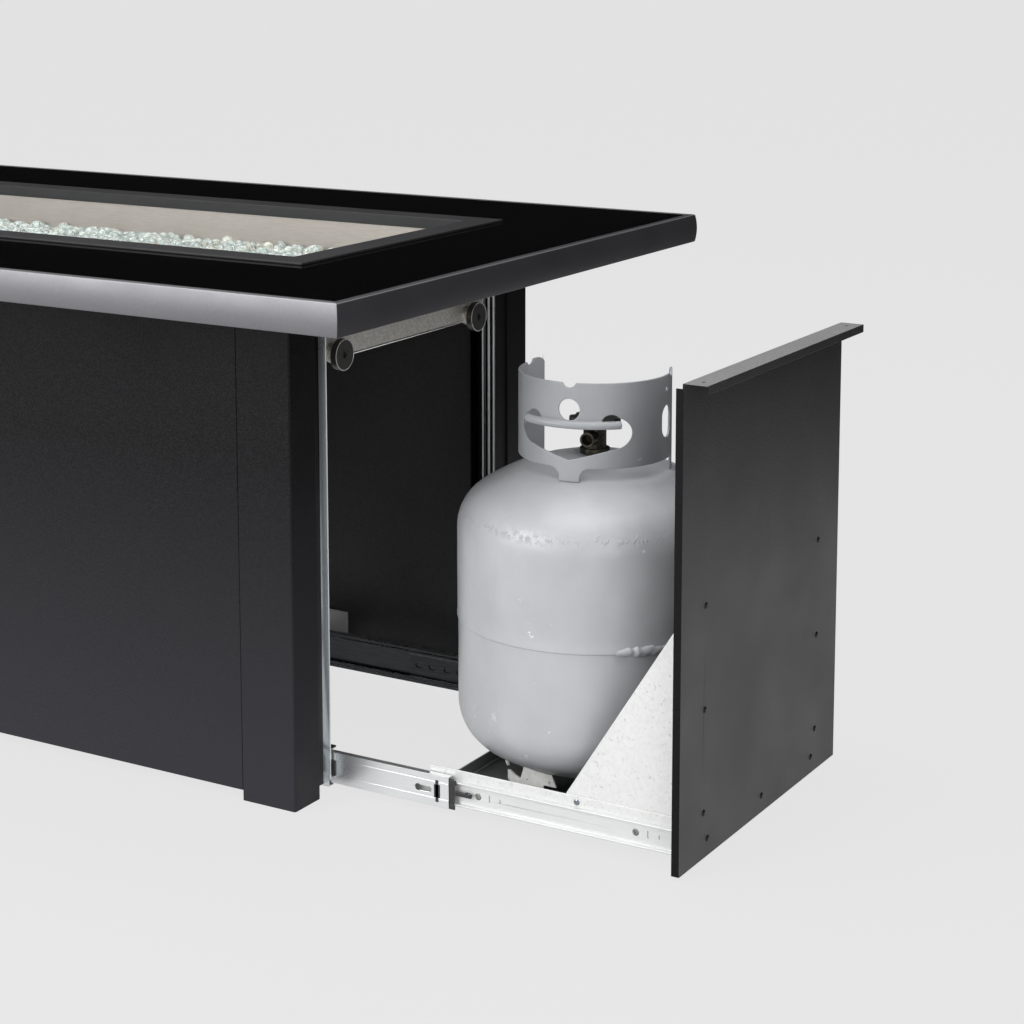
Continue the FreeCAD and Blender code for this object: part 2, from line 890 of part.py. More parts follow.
def catch_magnets():
    hole = d.magnet_screw_radius + d.screw_gap
    well = d.magnet_head_radius + d.screw_gap
    inner = d.magnet_radius - d.magnet_rim
    face = d.magnet_height - d.magnet_core_drop
    cup = [
        (hole, 0),
        (d.magnet_radius, 0),
        (d.magnet_radius, d.magnet_height),
        (inner, d.magnet_height),
        (inner, d.magnet_rim),
        (hole, d.magnet_rim),
    ]
    core = [
        (hole, d.magnet_rim),
        (inner, d.magnet_rim),
        (inner, face),
        (well, face),
        (well, magnet_seat),
        (hole, magnet_seat),
    ]
    spacer = corners(hole, d.spacer_radius, 0, spacer_length)
    length = d.catch_bar_sheet + spacer_length + magnet_seat
    head = length + d.magnet_head_height
    socket = head - d.magnet_socket_depth
    screw = [
        (0, 0),
        (d.magnet_screw_radius, 0),
        (d.magnet_screw_radius, length),
        (d.magnet_head_radius, length),
        (d.magnet_head_radius, head),
        (d.magnet_socket_radius, head),
        (d.magnet_socket_radius, socket),
        (0, socket),
    ]
    cup_back = magnet_spots(magnet_face - d.magnet_height)
    turned_group("magnet_cups", cup, cup_back, across)
    turned_group("catch_magnets", core, cup_back, across)
    turned_group("magnet_spacers", spacer, magnet_spots(bar_face), across)
    turned_group("magnet_screws", screw, magnet_spots(bar_face - d.catch_bar_sheet), across)


# Steel discs on the back of the door, which meet the magnets when the drawer is shut.
def catch_keepers():
    depth = door_proud - d.door_sheet + d.magnet_setback - d.magnet_gap
    disc = corners(0, d.keeper_radius, 0, depth)
    back = door_face - d.door_sheet - depth
    turned_group("catch_keepers", disc, magnet_spots(back), across)


# Telescopic slides. Depths run from the mounting face towards the middle of the drawer.

slide_front = base_right - d.slide_setback
middle_front = slide_front + d.middle_travel
inner_front = slide_front + d.drawer_travel
outer_inside = d.slide_height / 2 - d.slide_sheet
middle_half = d.middle_height / 2
middle_inside = middle_half - d.slide_sheet
middle_web = d.middle_offset + d.slide_sheet
middle_edge = d.middle_offset + d.middle_depth
inner_half = d.inner_height / 2
rail_screw_first = d.slide_length - d.rail_screw_setback
rail_screw_places = [rail_screw_first, rail_screw_first - d.rail_screw_pitch]


def mirrored(upper):
    return upper + [(depth, -height) for depth, height in reversed(upper)]


def rail(name, side, section, front, holes, radius):
    body = new_body(name)
    mount = d.slide_half_spacing
    loop = [(side * (mount - size(depth)), height) for depth, height in section]
    pad(body, new_sketch(body, "YZ_Plane", [loop]), d.slide_length)
    circles = [(x, 0, radius) for x in holes]
    pocket(body, new_sketch(body, "XZ_Plane", circles=circles), middle=True)
    place(body, front - d.slide_length, 0, d.slide_level)


def outer_section():
    t = d.slide_sheet
    top = d.slide_height / 2
    lip = d.outer_depth - t
    upper = [
        (0, top),
        (d.outer_depth, top),
        (d.outer_depth, top - d.outer_lip),
        (lip, top - d.outer_lip),
        (lip, top - t),
        (t, top - t),
    ]
    return mirrored(upper)


def middle_section():
    lip = middle_edge - d.slide_sheet
    upper = [
        (d.middle_offset, middle_half),
        (middle_edge, middle_half),
        (middle_edge, middle_inside - d.middle_lip),
        (lip, middle_inside - d.middle_lip),
        (lip, middle_inside),
        (middle_web, middle_inside),
    ]
    return mirrored(upper)


def inner_section():
    t = d.slide_sheet
    face = d.slide_depth
    edge = face - d.inner_depth
    upper = [
        (face, inner_half),
        (edge, inner_half),
        (edge, inner_half - t),
        (face - t, inner_half - t),
    ]
    return mirrored(upper)


# A thin channel between two rails, with a row of balls in each flange.
def ball_cage(name, side, web, reach, low, high, front):
    t = d.cage_sheet
    mount = d.slide_half_spacing
    row = (low + high) / 2
    upper = [
        (web, row + t / 2),
        (reach, row + t / 2),
        (reach, row - t / 2),
        (web + t, row - t / 2),
    ]
    loop = [(side * (mount - depth), height) for depth, height in mirrored(upper)]
    strip = doc.addObject("PartDesign::Body", name + "_strip")
    pad(strip, new_sketch(strip, "YZ_Plane", [loop]), d.cage_length)
    place(strip, front - d.cage_length, 0, d.slide_level)
    pieces = [strip]
    centre = (web + t + reach) / 2
    pitch = d.cage_length / d.ball_count
    for number in range(SIZES["ball_count"]):
        for half in (-1, 1):
            ball = doc.addObject("Part::Sphere", name + "_ball")
            bind(ball, "Radius", (high - low) / 2 - d.ball_clearance)
            x = front - pitch * (number + 0.5)
            place(ball, x, side * (mount - centre), d.slide_level + half * row)
            pieces.append(ball)
    cage = doc.addObject("Part::MultiFuse", name)
    cage.Shapes = pieces
    node(cage, name)


def slide(end, side):
    holes = [d.rail_hole_inset, d.slide_length - d.rail_hole_inset]
    radius = d.rail_hole_radius
    rail("outer_rail_" + end, side, outer_section(), slide_front, holes, radius)
    rail("middle_rail_" + end, side, middle_section(), middle_front, holes, radius)
    screws = rail_screw_places
    rail("inner_rail_" + end, side, inner_section(), inner_front, screws, screw_hole)
    web = d.slide_sheet + d.cage_gap
    reach = d.outer_depth - d.slide_sheet - d.cage_gap
    front = slide_front - d.outer_cage_setback
    ball_cage("outer_cage_" + end, side, web, reach, middle_half, outer_inside, front)
    web = middle_web + d.cage_gap
    reach = middle_edge - d.slide_sheet - d.cage_gap
    front = middle_front - d.inner_cage_setback
    ball_cage("inner_cage_" + end, side, web, reach, inner_half, middle_inside, front)
    rail_stop("rail_stop_" + end, side)
    slide_bracket("slide_bracket_" + end, side)


# The moulded end stop on the web of the middle rail, half of it past the rail's end.
def rail_stop(name, side):
    body = new_body(name)
    back = side * (d.slide_half_spacing - middle_web)
    face = back - side * d.stop_thickness
    loop = corners(back, face, -middle_inside, middle_inside)
    pad(body, new_sketch(body, "YZ_Plane", [loop]), d.stop_width)
    place(body, middle_front - d.stop_width / 2, 0, d.slide_level)


# A folded bracket from the wall panel to the back of the outer rail.
def slide_bracket(name, side):
    body = new_body(name)
    t = d.sheet
    wall = d.base_width / 2 - t
    mount = d.slide_half_spacing
    fold = [
        (wall, 0),
        (mount, 0),
        (mount, d.bracket_height),
        (mount + t, d.bracket_height),
        (mount + t, t),
        (wall - t, t),
        (wall - t, d.bracket_height),
        (wall, d.bracket_height),
    ]
    section = [(side * u, v) for u, v in fold]
    pad(body, new_sketch(body, "YZ_Plane", [section]), d.bracket_length)
    place(body, base_right - d.bracket_setback - d.bracket_length, 0, d.bracket_lift)


# Drawer

tray_half = d.slide_half_spacing - d.slide_depth
tray_front = door_face - d.door_sheet
tray_floor = d.tray_level + d.tray_sheet


def door_column_levels():
    return [d.door_screw_low + step * d.door_screw_pitch for step in range(3)]


def door_screw_spots():
    columns = [
        (side * d.door_screw_offset, level) for side in (-1, 1) for level in door_column_levels()
    ]
    row = [(step * d.door_screw_row_pitch, d.door_screw_row) for step in (-1, 0, 1)]
    return columns + row


def door_panel():
    body = new_body("door_panel")
    t = d.door_sheet
    height = door_top - d.door_bottom
    lip = height - d.handle_lip
    fold = [
        (0, 0),
        (0, height - t),
        (d.handle_depth - t, height - t),
        (d.handle_depth - t, lip),
        (d.handle_depth, lip),
        (d.handle_depth, height),
        (-t, height),
        (-t, t),
        (-d.door_return, t),
        (-d.door_return, 0),
    ]
    pad(body, new_sketch(body, "XZ_Plane", [fold]), d.door_width, middle=True)
    half = d.door_width / 2
    sides = [corners(-d.door_return, -t, side * half, side * (half - t)) for side in (-1, 1)]
    pad(body, new_sketch(body, "XY_Plane", sides), height)
    hole_y = half - d.handle_hole_inset
    circles = [(d.handle_depth / 2, side * hole_y, d.handle_hole_radius) for side in (-1, 1)]
    pocket(body, new_sketch(body, "XY_Plane", circles=circles, lift=height), t)
    circles = [(y, z - d.door_bottom, screw_hole) for y, z in door_screw_spots()]
    pocket(body, new_sketch(body, "YZ_Plane", circles=circles), t)
    place(body, door_face, 0, d.door_bottom)


def screw_profile(reach, head_radius, head_height):
    top = reach + head_height
    return [
        (0, 0),
        (d.screw_radius, 0),
        (d.screw_radius, reach),
        (head_radius, reach),
        (d.screw_radius, top),
        (0, top),
    ]


def drawer_screws():
    reach = d.door_sheet + d.tray_sheet
    profile = screw_profile(reach, d.screw_head_radius, d.screw_head_height)
    spots = [(door_face - reach, y, z, 1) for y, z in door_screw_spots()]
    turned_group("door_screws", profile, spots, across)
    reach = d.tray_sheet + d.gusset_sheet
    profile = screw_profile(reach, d.low_head_radius, d.low_head_height)
    x = tray_front - d.tray_screw_setback
    y = tray_half - reach
    spots = [(x, side * y, d.tray_screw_level, -side) for side in (-1, 1)]
    turned_group("tray_screws", profile, spots, along)
    reach = d.slide_sheet + d.tray_sheet
    profile = screw_profile(reach, d.screw_head_radius, d.screw_head_height)
    y = tray_half - d.tray_sheet
    back = inner_front - d.slide_length
    spots = [
        (back + step, side * y, d.slide_level, -side) for side in (-1, 1) for step in rail_screw_places
    ]
    turned_group("rail_screws", profile, spots, along)


def drawer_tray():
    body = new_body("drawer_tray")
    t = d.tray_sheet
    half = tray_half - t
    top = d.tray_wall_height
    trough = [
        (-tray_half, 0),
        (tray_half, 0),
        (tray_half, top),
        (half, top),
        (half, t),
        (-half, t),
        (-half, top),
        (-tray_half, top),
    ]
    pad(body, new_sketch(body, "YZ_Plane", [trough]), d.tray_length)
    front = corners(-half, half, 0, d.tray_front_height)
    last = d.tray_length - t
    pad(body, new_sketch(body, "YZ_Plane", [front], lift=last), t)
    back = corners(-half, half, 0, d.tray_back_height)
    pad(body, new_sketch(body, "YZ_Plane", [back]), t)
    level = d.door_screw_row - d.tray_level
    circles = [(step * d.door_screw_row_pitch, level, screw_hole) for step in (-1, 0, 1)]
    pocket(body, new_sketch(body, "YZ_Plane", circles=circles, lift=last), t, back=True)
    start = tray_front - d.tray_length
    rail_back = inner_front - d.slide_length - start
    level = d.slide_level - d.tray_level
    circles = [(rail_back + step, level, screw_hole) for step in rail_screw_places]
    level = d.tray_screw_level - d.tray_level
    circles.append((d.tray_length - d.tray_screw_setback, level, screw_hole))
    pocket(body, new_sketch(body, "XZ_Plane", circles=circles), middle=True)
    place(body, start, 0, d.tray_level)


# A triangular side plate inside the tray wall, with a flange along the door.
def gusset(name, side):
    body = new_body(name)
    t = d.gusset_sheet
    top = d.gusset_top - tray_floor
    wall_top = d.tray_wall_height - d.tray_sheet
    low = d.tray_front_height - d.tray_sheet
    plate = [
        (0, low),
        (0, top),
        (-t, top),
        (-d.gusset_length, wall_top),
        (-d.gusset_length, 0),
        (-d.tray_sheet, 0),
        (-d.tray_sheet, low),
    ]
    outside = tray_half - d.tray_sheet
    sheet_plane = new_sketch(body, "XZ_Plane", [plate], lift=-side * outside)
    pad(body, sheet_plane, t, back=side < 0)
    flange = corners(side * outside, side * (outside - d.gusset_flange), low, top)
    pad(body, new_sketch(body, "YZ_Plane", [flange]), t, back=True)
    y = side * d.door_screw_offset
    circles = [(y, level - tray_floor, screw_hole) for level in door_column_levels()]
    pocket(body, new_sketch(body, "YZ_Plane", circles=circles), t)
    circles = [(-d.tray_screw_setback, d.tray_screw_level - tray_floor, screw_hole)]
    pocket(body, new_sketch(body, "XZ_Plane", circles=circles), middle=True)
    place(body, tray_front, 0, tray_floor)


# Gas cylinder

tank_x = door_face - d.tank_setback
tank_bottom = tray_floor + d.tank_foot_gap
seam = tank_bottom + d.tank_head + d.tank_straight / 2
tank_pole = seam + d.tank_straight / 2 + d.tank_head
knuckle_inset = d.tank_radius - d.tank_knuckle
crown = (
    knuckle_inset * knuckle_inset + d.tank_head * d.tank_head - d.tank_knuckle * d.tank_knuckle
) / (2 * (d.tank_head - d.tank_knuckle))


# How far the dished head has fallen away from its pole at a given radius.
def crown_drop(radius):
    return crown - (crown * crown - radius * radius).root()


# The flat pad on top of the cylinder, where the valve sits.
tank_top = tank_pole - crown_drop(d.valve_base_radius)


# The two arcs of a dished head above its straight side, pulled in by a given amount.
def head_points(pull):
    drop = crown - d.tank_head
    lean_x = knuckle_inset / (crown - d.tank_knuckle)
    lean_z = drop / (crown - d.tank_knuckle)
    small = d.tank_knuckle - pull
    large = crown - pull
    base = d.tank_straight / 2
    knuckle_x = knuckle_inset + small * ((1 + lean_x) / 2).root()
    knuckle_z = base + small * ((1 - lean_x) / 2).root()
    crown_x = large * ((1 - lean_z) / 2).root()
    crown_z = base - drop + large * ((1 + lean_z) / 2).root()
    pad_x = d.valve_base_radius
    pad_z = base - drop + (large * large - pad_x * pad_x).root()
    return SimpleNamespace(
        side=(d.tank_radius - pull, base),
        knuckle=(knuckle_x, knuckle_z),
        join=(knuckle_inset + small * lean_x, base + small * lean_z),
        crown=(crown_x, crown_z),
        pad=(pad_x, pad_z),
        pole=(size(0), pad_z),
    )


# One pressed half of the cylinder: a dished head and half of the straight side.
def tank_half(name, pull, way):
    outer = head_points(pull)
    inner = head_points(pull + d.tank_wall)
    profile = [
        (outer.side[0], size(0)),
        outer.side + (outer.knuckle,),
        outer.join + (outer.crown,),
        outer.pad,
        outer.pole,
        inner.pole,
        inner.pad + (inner.crown,),
        inner.join + (inner.knuckle,),
        inner.side,
        (inner.side[0], size(0)),
    ]
    loop = []
    for point in profile:
        spot = (point[0], way * point[1])
        if len(point) == 3:
            spot += ((point[2][0], way * point[2][1]),)
        loop.append(spot)
    place(turned_body(name, loop), tank_x, 0, seam)


def tank_foot():
    body = new_body("tank_foot")
    inside = d.foot_radius - d.foot_wall
    gap = d.tank_foot_gap + d.tank_joggle
    profile = [
        (inside, 0),
        (d.foot_radius, 0),
        (d.foot_radius, gap + crown_drop(d.foot_radius)),
        (inside, gap + crown_drop(inside)),
    ]
    revolve(body, new_sketch(body, "XZ_Plane", [profile]))
    window = corners(-d.foot_window / 2, d.foot_window / 2, 0, d.foot_window_height)
    cut = pocket(body, new_sketch(body, "YZ_Plane", [window]), back=True)
    repeat_round(body, cut, d.foot_window_count)
    place(body, tank_x, 0, tray_floor, up, d.foot_turn)


def slot(y, z, radius, length):
    y, z = size(y), size(z)
    reach = length / 2 - radius
    return [
        (y - radius, z - reach, (y, z - length / 2)),
        (y + radius, z - reach),
        (y + radius, z + reach, (y, z + length / 2)),
        (y - radius, z + reach),
    ]


# The middle point of a quarter round about a centre, in the corner that the two reaches point to.
def rounded(x, z, x_reach, z_reach):
    return x + x_reach * math.sqrt(0.5), z + z_reach * math.sqrt(0.5)


# What is cut away beside the collar's front tab, with a hollow root where the tab meets the band.
def tab_flank(side, edge, reach):
    foot = side * d.collar_tab_half
    root = side * d.collar_tab_round
    start = edge - d.collar_tab_round
    return [
        (foot, -edge),
        (foot, start, rounded(foot + root, start, -root, d.collar_tab_round)),
        (foot + root, edge),
        (side * reach, edge),
        (side * reach, -edge),
    ]


# The collar: a rolled band open at the back, with lugs, tabs, a hand-hold and its rolled grip.
def tank_collar():
    body = new_body("tank_collar")
    radius = d.collar_radius
    edge = d.collar_tab_drop
    rim = edge + d.collar_height
    crest = rim + d.collar_lug
    band = corners(radius - d.collar_wall, radius, 0, crest)
    revolve(body, new_sketch(body, "XZ_Plane", [band]), 360 - d.collar_gap_angle)
    low = edge + d.grip_level
    high = low + d.grip_height
    shoulder = low + d.grip_shoulder
    waist = (low + high) / 2
    lobe_top = high + d.grip_lobe_rise
    lobe_side = high + d.grip_lobe_side
    hand_hold = [
        (0, low),
        (d.grip_low_half, shoulder, (d.grip_half_width, waist)),
        (d.grip_top_half, lobe_side, (d.grip_lobe_middle, lobe_top)),
        (d.grip_lobe_start, high),
        (-d.grip_lobe_start, high, (-d.grip_lobe_middle, lobe_top)),
        (-d.grip_top_half, lobe_side, (-d.grip_half_width, waist)),
        (-d.grip_low_half, shoulder),
    ]
    pocket(body, new_sketch(body, "YZ_Plane", [hand_hold]), back=True)
    holes = [
        (0, rim - d.collar_hole_drop, d.collar_hole_radius),
        (0, rim + d.rim_notch_lift, d.rim_notch_radius),
    ]
    pocket(body, new_sketch(body, "YZ_Plane", circles=holes), back=True)
    for side in (-1, 1):
        turn = side * d.side_hole_turn
        oval = slot(0, edge + d.side_hole_level, d.side_hole_radius, d.side_hole_length)
        pin = [(0, edge + d.pin_hole_level, d.pin_hole_radius)]
        pocket(body, new_sketch(body, "YZ_Plane", [oval], pin, turn=turn), back=True)
    free_end = -radius * (d.collar_gap_angle / 2).cosine()
    lug_start = free_end + d.collar_lug_width
    above = corners(-2 * radius, 2 * radius, rim, crest + d.collar_lug)
    pocket(body, new_sketch(body, "YZ_Plane", [above], lift=lug_start), back=True)
    lug_round = d.collar_lug_round
    lug_top = free_end + lug_round
    lug_side = crest - lug_round
    lug_corner = [
        (free_end, lug_side, rounded(lug_top, lug_side, -lug_round, lug_round)),
        (lug_top, crest),
        (lug_top, crest + lug_round),
        (free_end - lug_round, crest + lug_round),
        (free_end - lug_round, lug_side),
    ]
    scallop = [(lug_start, crest + d.collar_lug, d.collar_scallop_radius)]
    pocket(body, new_sketch(body, "XZ_Plane", [lug_corner], scallop), middle=True)
    below = [tab_flank(side, edge, 2 * radius) for side in (-1, 1)]
    pocket(body, new_sketch(body, "YZ_Plane", below, lift=lug_start), back=True)
    bar = [(radius + d.grip_bar_radius / 2, high, d.grip_bar_radius)]
    revolve(body, new_sketch(body, "XZ_Plane", circles=bar), d.grip_bar_angle)
    foot = tank_pole - crown_drop(radius - d.collar_wall)
    place(body, tank_x, 0, foot, up, d.tank_turn - 90)


def tank_valve():
    body = new_body("tank_valve")
    profile = [
        (0, 0),
        (d.valve_base_radius, 0),
        (d.valve_base_radius, d.valve_base_height),
        (d.valve_radius, d.valve_base_height),
        (d.valve_radius, d.valve_height),
        (0, d.valve_height),
    ]
    revolve(body, new_sketch(body, "XZ_Plane", [profile]))
    ring = [(0, d.outlet_level, d.outlet_radius)]
    pad(body, new_sketch(body, "XZ_Plane", circles=ring), d.outlet_reach)
    bore = [(0, d.outlet_level, d.outlet_bore)]
    mouth = new_sketch(body, "XZ_Plane", circles=bore, lift=d.outlet_reach)
    pocket(body, mouth, d.outlet_depth)
    place(body, tank_x, 0, tank_top, up, d.tank_turn)


def tank_handwheel():
    body = new_body("tank_handwheel")
    top = d.wheel_boss_height + d.wheel_height
    profile = [
        (0, 0),
        (d.wheel_boss_radius, 0),
        (d.wheel_boss_radius, d.wheel_boss_height),
        (d.wheel_radius, d.wheel_boss_height),
        (d.wheel_radius, top),
        (0, top),
    ]
    revolve(body, new_sketch(body, "XZ_Plane", [profile]))
    notch = [(d.wheel_radius + d.wheel_scallop / 2, 0, d.wheel_scallop)]
    cut = pocket(body, new_sketch(body, "XY_Plane", circles=notch), back=True)
    repeat_round(body, cut, d.wheel_lobes)
    place(body, tank_x, 0, tank_top + d.valve_height + d.wheel_gap)


# Controls on the closed end. Their profiles rise outward from the panel's face.


def control(name, profile, y):
    body = turned_body(name, profile)
    place(body, base_left, y, control_level, across, -90)


def controls():
    bore = d.stem_radius + d.stem_gap
    depth = d.stem_length + d.stem_gap
    block = [
        (0, -d.valve_block_length),
        (d.valve_block_radius, -d.valve_block_length),
        (d.valve_block_radius, 0),
        (bore, 0),
        (bore, -depth),
        (0, -depth),
    ]
    control("control_valve", block, 0)
    knob = [
        (0, -d.stem_length),
        (d.stem_radius, -d.stem_length),
        (d.stem_radius, d.knob_gap),
        (d.knob_radius, d.knob_gap),
        (d.knob_radius, d.knob_skirt),
        (d.knob_grip_radius, d.knob_skirt),
        (d.knob_grip_radius, d.knob_height),
        (0, d.knob_height),
    ]
    control("control_knob", knob, 0)
    shaft = d.button_radius + d.button_gap
    inner_end = d.button_reach - d.button_length
    floor = inner_end - d.button_travel - d.button_gap
    housing = [
        (0, -d.housing_length),
        (d.housing_barrel, -d.housing_length),
        (d.housing_barrel, 0),
        (d.housing_radius, 0),
        (d.housing_radius, d.housing_flange),
        (shaft, d.housing_flange),
        (shaft, floor),
        (0, floor),
    ]
    control("igniter_housing", housing, d.control_spacing)
    button = corners(0, d.button_radius, inner_end, d.button_reach)
    control("igniter_button", button, d.control_spacing)


def build():
    edge_rails()
    table_top()
    top_support_frame()
    burner_trim()
    burner_pan()
    burner_tube()
    burner_inlet()
    fire_glass()
    igniter_electrode()
    gas_pipe()
    corner_posts()
    wall_panels()
    upright("upright_front", -1)
    upright("upright_back", 1)
    catch_bar()
    catch_magnets()
    catch_keepers()
    slide("front", -1)
    slide("back", 1)
    door_panel()
    drawer_screws()
    drawer_tray()
    gusset("gusset_front", -1)
    gusset("gusset_back", 1)
    tank_half("tank_upper", size(0), 1)
    tank_half("tank_lower", d.tank_joggle, -1)
    tank_foot()
    tank_collar()
    tank_valve()
    tank_handwheel()
    controls()
    doc.recompute()


def check():
    for item in doc.Objects:
        state = " ".join(item.State)
        if "Invalid" in state or "Error" in state:
            raise RuntimeError("%s did not compute: %s" % (item.Label, state))
    for item in nodes:
        if item.Shape.isNull() or not item.Shape.isValid() or not item.Shape.Solids:
            raise RuntimeError("%s has no valid solid" % item.Label)


def export():
    for item in nodes:
        item.Shape.exportStep("parts/%s.step" % item.Label)


build()
check()
export()
print("%d sub-parts written" % len(nodes))
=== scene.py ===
import json
import math
import random

import bpy
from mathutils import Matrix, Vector
from mathutils.bvhtree import BVHTree


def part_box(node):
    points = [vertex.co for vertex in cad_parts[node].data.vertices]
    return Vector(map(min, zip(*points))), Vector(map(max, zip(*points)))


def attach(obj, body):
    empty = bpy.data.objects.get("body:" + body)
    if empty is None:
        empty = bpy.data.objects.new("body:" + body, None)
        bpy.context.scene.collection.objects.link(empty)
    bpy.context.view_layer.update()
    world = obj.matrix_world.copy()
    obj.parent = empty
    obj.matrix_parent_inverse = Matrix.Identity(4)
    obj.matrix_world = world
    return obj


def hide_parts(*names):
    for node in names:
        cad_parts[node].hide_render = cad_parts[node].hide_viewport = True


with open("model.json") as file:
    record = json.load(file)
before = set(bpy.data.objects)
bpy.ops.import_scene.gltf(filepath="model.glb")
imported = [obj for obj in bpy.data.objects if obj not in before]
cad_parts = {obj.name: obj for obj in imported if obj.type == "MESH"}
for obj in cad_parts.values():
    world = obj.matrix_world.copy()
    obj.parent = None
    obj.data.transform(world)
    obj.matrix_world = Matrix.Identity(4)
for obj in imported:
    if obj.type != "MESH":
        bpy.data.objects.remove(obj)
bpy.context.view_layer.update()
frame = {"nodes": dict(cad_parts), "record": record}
nodes = frame["nodes"]
scene = bpy.context.scene
bodyOf = {node: body for body, group in frame["record"]["behaviour"]["bodies"].items() for node in group}
slotOf = {entry["node"]: entry["material_slot"] for entry in frame["record"]["subparts"]}
bpy.ops.object.select_all(action="DESELECT")
print("frame loaded:", len(nodes), "nodes")


# finishes

def newFinish(name, colour, roughness, metallic=0.0):
    finish = bpy.data.materials.new(name)
    finish.use_nodes = True
    shader = finish.node_tree.nodes["Principled BSDF"]
    shader.inputs["Base Color"].default_value = (*colour, 1)
    shader.inputs["Roughness"].default_value = roughness
    shader.inputs["Metallic"].default_value = metallic
    return finish, finish.node_tree, shader


def place(tree, stretch=(1, 1, 1)):
    coords = tree.nodes.new("ShaderNodeTexCoord")
    mapping = tree.nodes.new("ShaderNodeMapping")
    mapping.inputs["Scale"].default_value = stretch
    tree.links.new(coords.outputs["Object"], mapping.inputs["Vector"])
    return mapping.outputs["Vector"]


def noise(tree, vector, scale, detail, roughness=0.5):
    texture = tree.nodes.new("ShaderNodeTexNoise")
    texture.inputs["Scale"].default_value = scale
    texture.inputs["Detail"].default_value = detail
    texture.inputs["Roughness"].default_value = roughness
    tree.links.new(vector, texture.inputs["Vector"])
    return texture.outputs["Fac"]


def cells(tree, vector, scale, output="Color"):
    texture = tree.nodes.new("ShaderNodeTexVoronoi")
    texture.inputs["Scale"].default_value = scale
    tree.links.new(vector, texture.inputs["Vector"])
    return texture.outputs[output]


def spread(tree, source, low, high, start=0.3, end=0.7):
    span = tree.nodes.new("ShaderNodeMapRange")
    for name, value in (("From Min", start), ("From Max", end), ("To Min", low), ("To Max", high)):
        span.inputs[name].default_value = value
    tree.links.new(source, span.inputs["Value"])
    return span.outputs["Result"]


def ramp(tree, source, stops, tints):
    band = tree.nodes.new("ShaderNodeValToRGB")
    for element, position, tint in zip(band.color_ramp.elements, stops, tints):
        element.position = position
        element.color = (*tint, 1)
    tree.links.new(source, band.inputs["Fac"])
    return band.outputs["Color"]


def bump(tree, shader, source, strength, depth, under=None):
    relief = tree.nodes.new("ShaderNodeBump")
    relief.inputs["Strength"].default_value = strength
    relief.inputs["Distance"].default_value = depth
    tree.links.new(source, relief.inputs["Height"])
    if under:
        tree.links.new(under, relief.inputs["Normal"])
    tree.links.new(relief.outputs["Normal"], shader.inputs["Normal"])
    return relief.outputs["Normal"]


def blend(tree, share, under, over):
    # one colour laid over another where the share is high
    mix = tree.nodes.new("ShaderNodeMix")
    mix.data_type = "RGBA"
    tree.links.new(share, mix.inputs["Factor"])
    tree.links.new(under, mix.inputs["A"])
    mix.inputs["B"].default_value = (*over, 1)
    return mix.outputs["Result"]


def combine(tree, operation, first, second):
    both = tree.nodes.new("ShaderNodeMath")
    both.operation = operation
    tree.links.new(first, both.inputs[0])
    tree.links.new(second, both.inputs[1])
    return both.outputs[0]


def heightOf(tree, vector):
    split = tree.nodes.new("ShaderNodeSeparateXYZ")
    tree.links.new(vector, split.inputs[0])
    return split.outputs["Z"]


def belt(tree, vector, level, half):
    # one at a level, falling to nothing above and below it
    height = heightOf(tree, vector)
    rising = spread(tree, height, 0.0, 1.0, level - half, level)
    falling = spread(tree, height, 1.0, 0.0, level, level + half)
    return combine(tree, "MULTIPLY", rising, falling)


def coatWith(tree, shader, coat, sheen=None):
    tree.links.new(coat, shader.inputs["Base Color"])
    if sheen:
        tree.links.new(sheen, shader.inputs["Roughness"])


powder = {"roughness": 0.5, "grain": (640, 2.0), "stops": (0.38, 0.68), "cloud": (9, 3.0),
          "sheen": (0.43, 0.56), "relief": (0.65, 0.0005)}


def powderCoat(name, dark, light, gloss, paintedFloorLight=None):
    # fine sand texture of baked powder paint, made lighter below by painted floor light where it is given
    finish, tree, shader = newFinish(name, dark, powder["roughness"])
    shader.inputs["Specular IOR Level"].default_value = gloss
    vector = place(tree)
    grain = noise(tree, vector, *powder["grain"])
    cloud = noise(tree, vector, *powder["cloud"])
    coat = ramp(tree, grain, powder["stops"], (dark, light))
    # painted light: the coat is lighter towards the bottom, as if the floor lit it
    if paintedFloorLight:
        below = spread(tree, heightOf(tree, vector), 1.0, 0.0, paintedFloorLight["low"], paintedFloorLight["high"])
        coat = blend(tree, below, coat, paintedFloorLight["colour"])
    coatWith(tree, shader, coat, spread(tree, cloud, *powder["sheen"]))
    bump(tree, shader, grain, *powder["relief"])
    return finish


railCoat = {"roughness": 0.48, "metallic": 0.75, "flake": (1800, 2.0), "stops": (0.3, 0.7),
            "cloud": (14, 2.0), "sheen": (0.44, 0.52), "relief": (0.12, 0.0002)}


def railPaint(name, dark, light):
    # metallic grey with fine flakes
    finish, tree, shader = newFinish(name, light, railCoat["roughness"], railCoat["metallic"])
    vector = place(tree)
    flake = noise(tree, vector, *railCoat["flake"])
    cloud = noise(tree, vector, *railCoat["cloud"])
    coatWith(tree, shader, ramp(tree, flake, railCoat["stops"], (dark, light)),
             spread(tree, cloud, *railCoat["sheen"]))
    bump(tree, shader, flake, *railCoat["relief"])
    return finish


topGlass = {
    "colour": (0.003, 0.003, 0.0035), "roughness": 0.06, "gloss": 0.25,
    "dust": (700, 2.0), "dustStops": (0.68, 0.85), "dustColour": (0.02, 0.02, 0.02),
    "smear": (16, 4.0), "sheen": (0.04, 0.12),
    "motes": 70, "moteShare": (1.0, 0.0, 0.04, 0.07), "fewShare": (0.0, 0.6, 0.74, 0.76),
    "moteColour": (0.5, 0.5, 0.5),
}


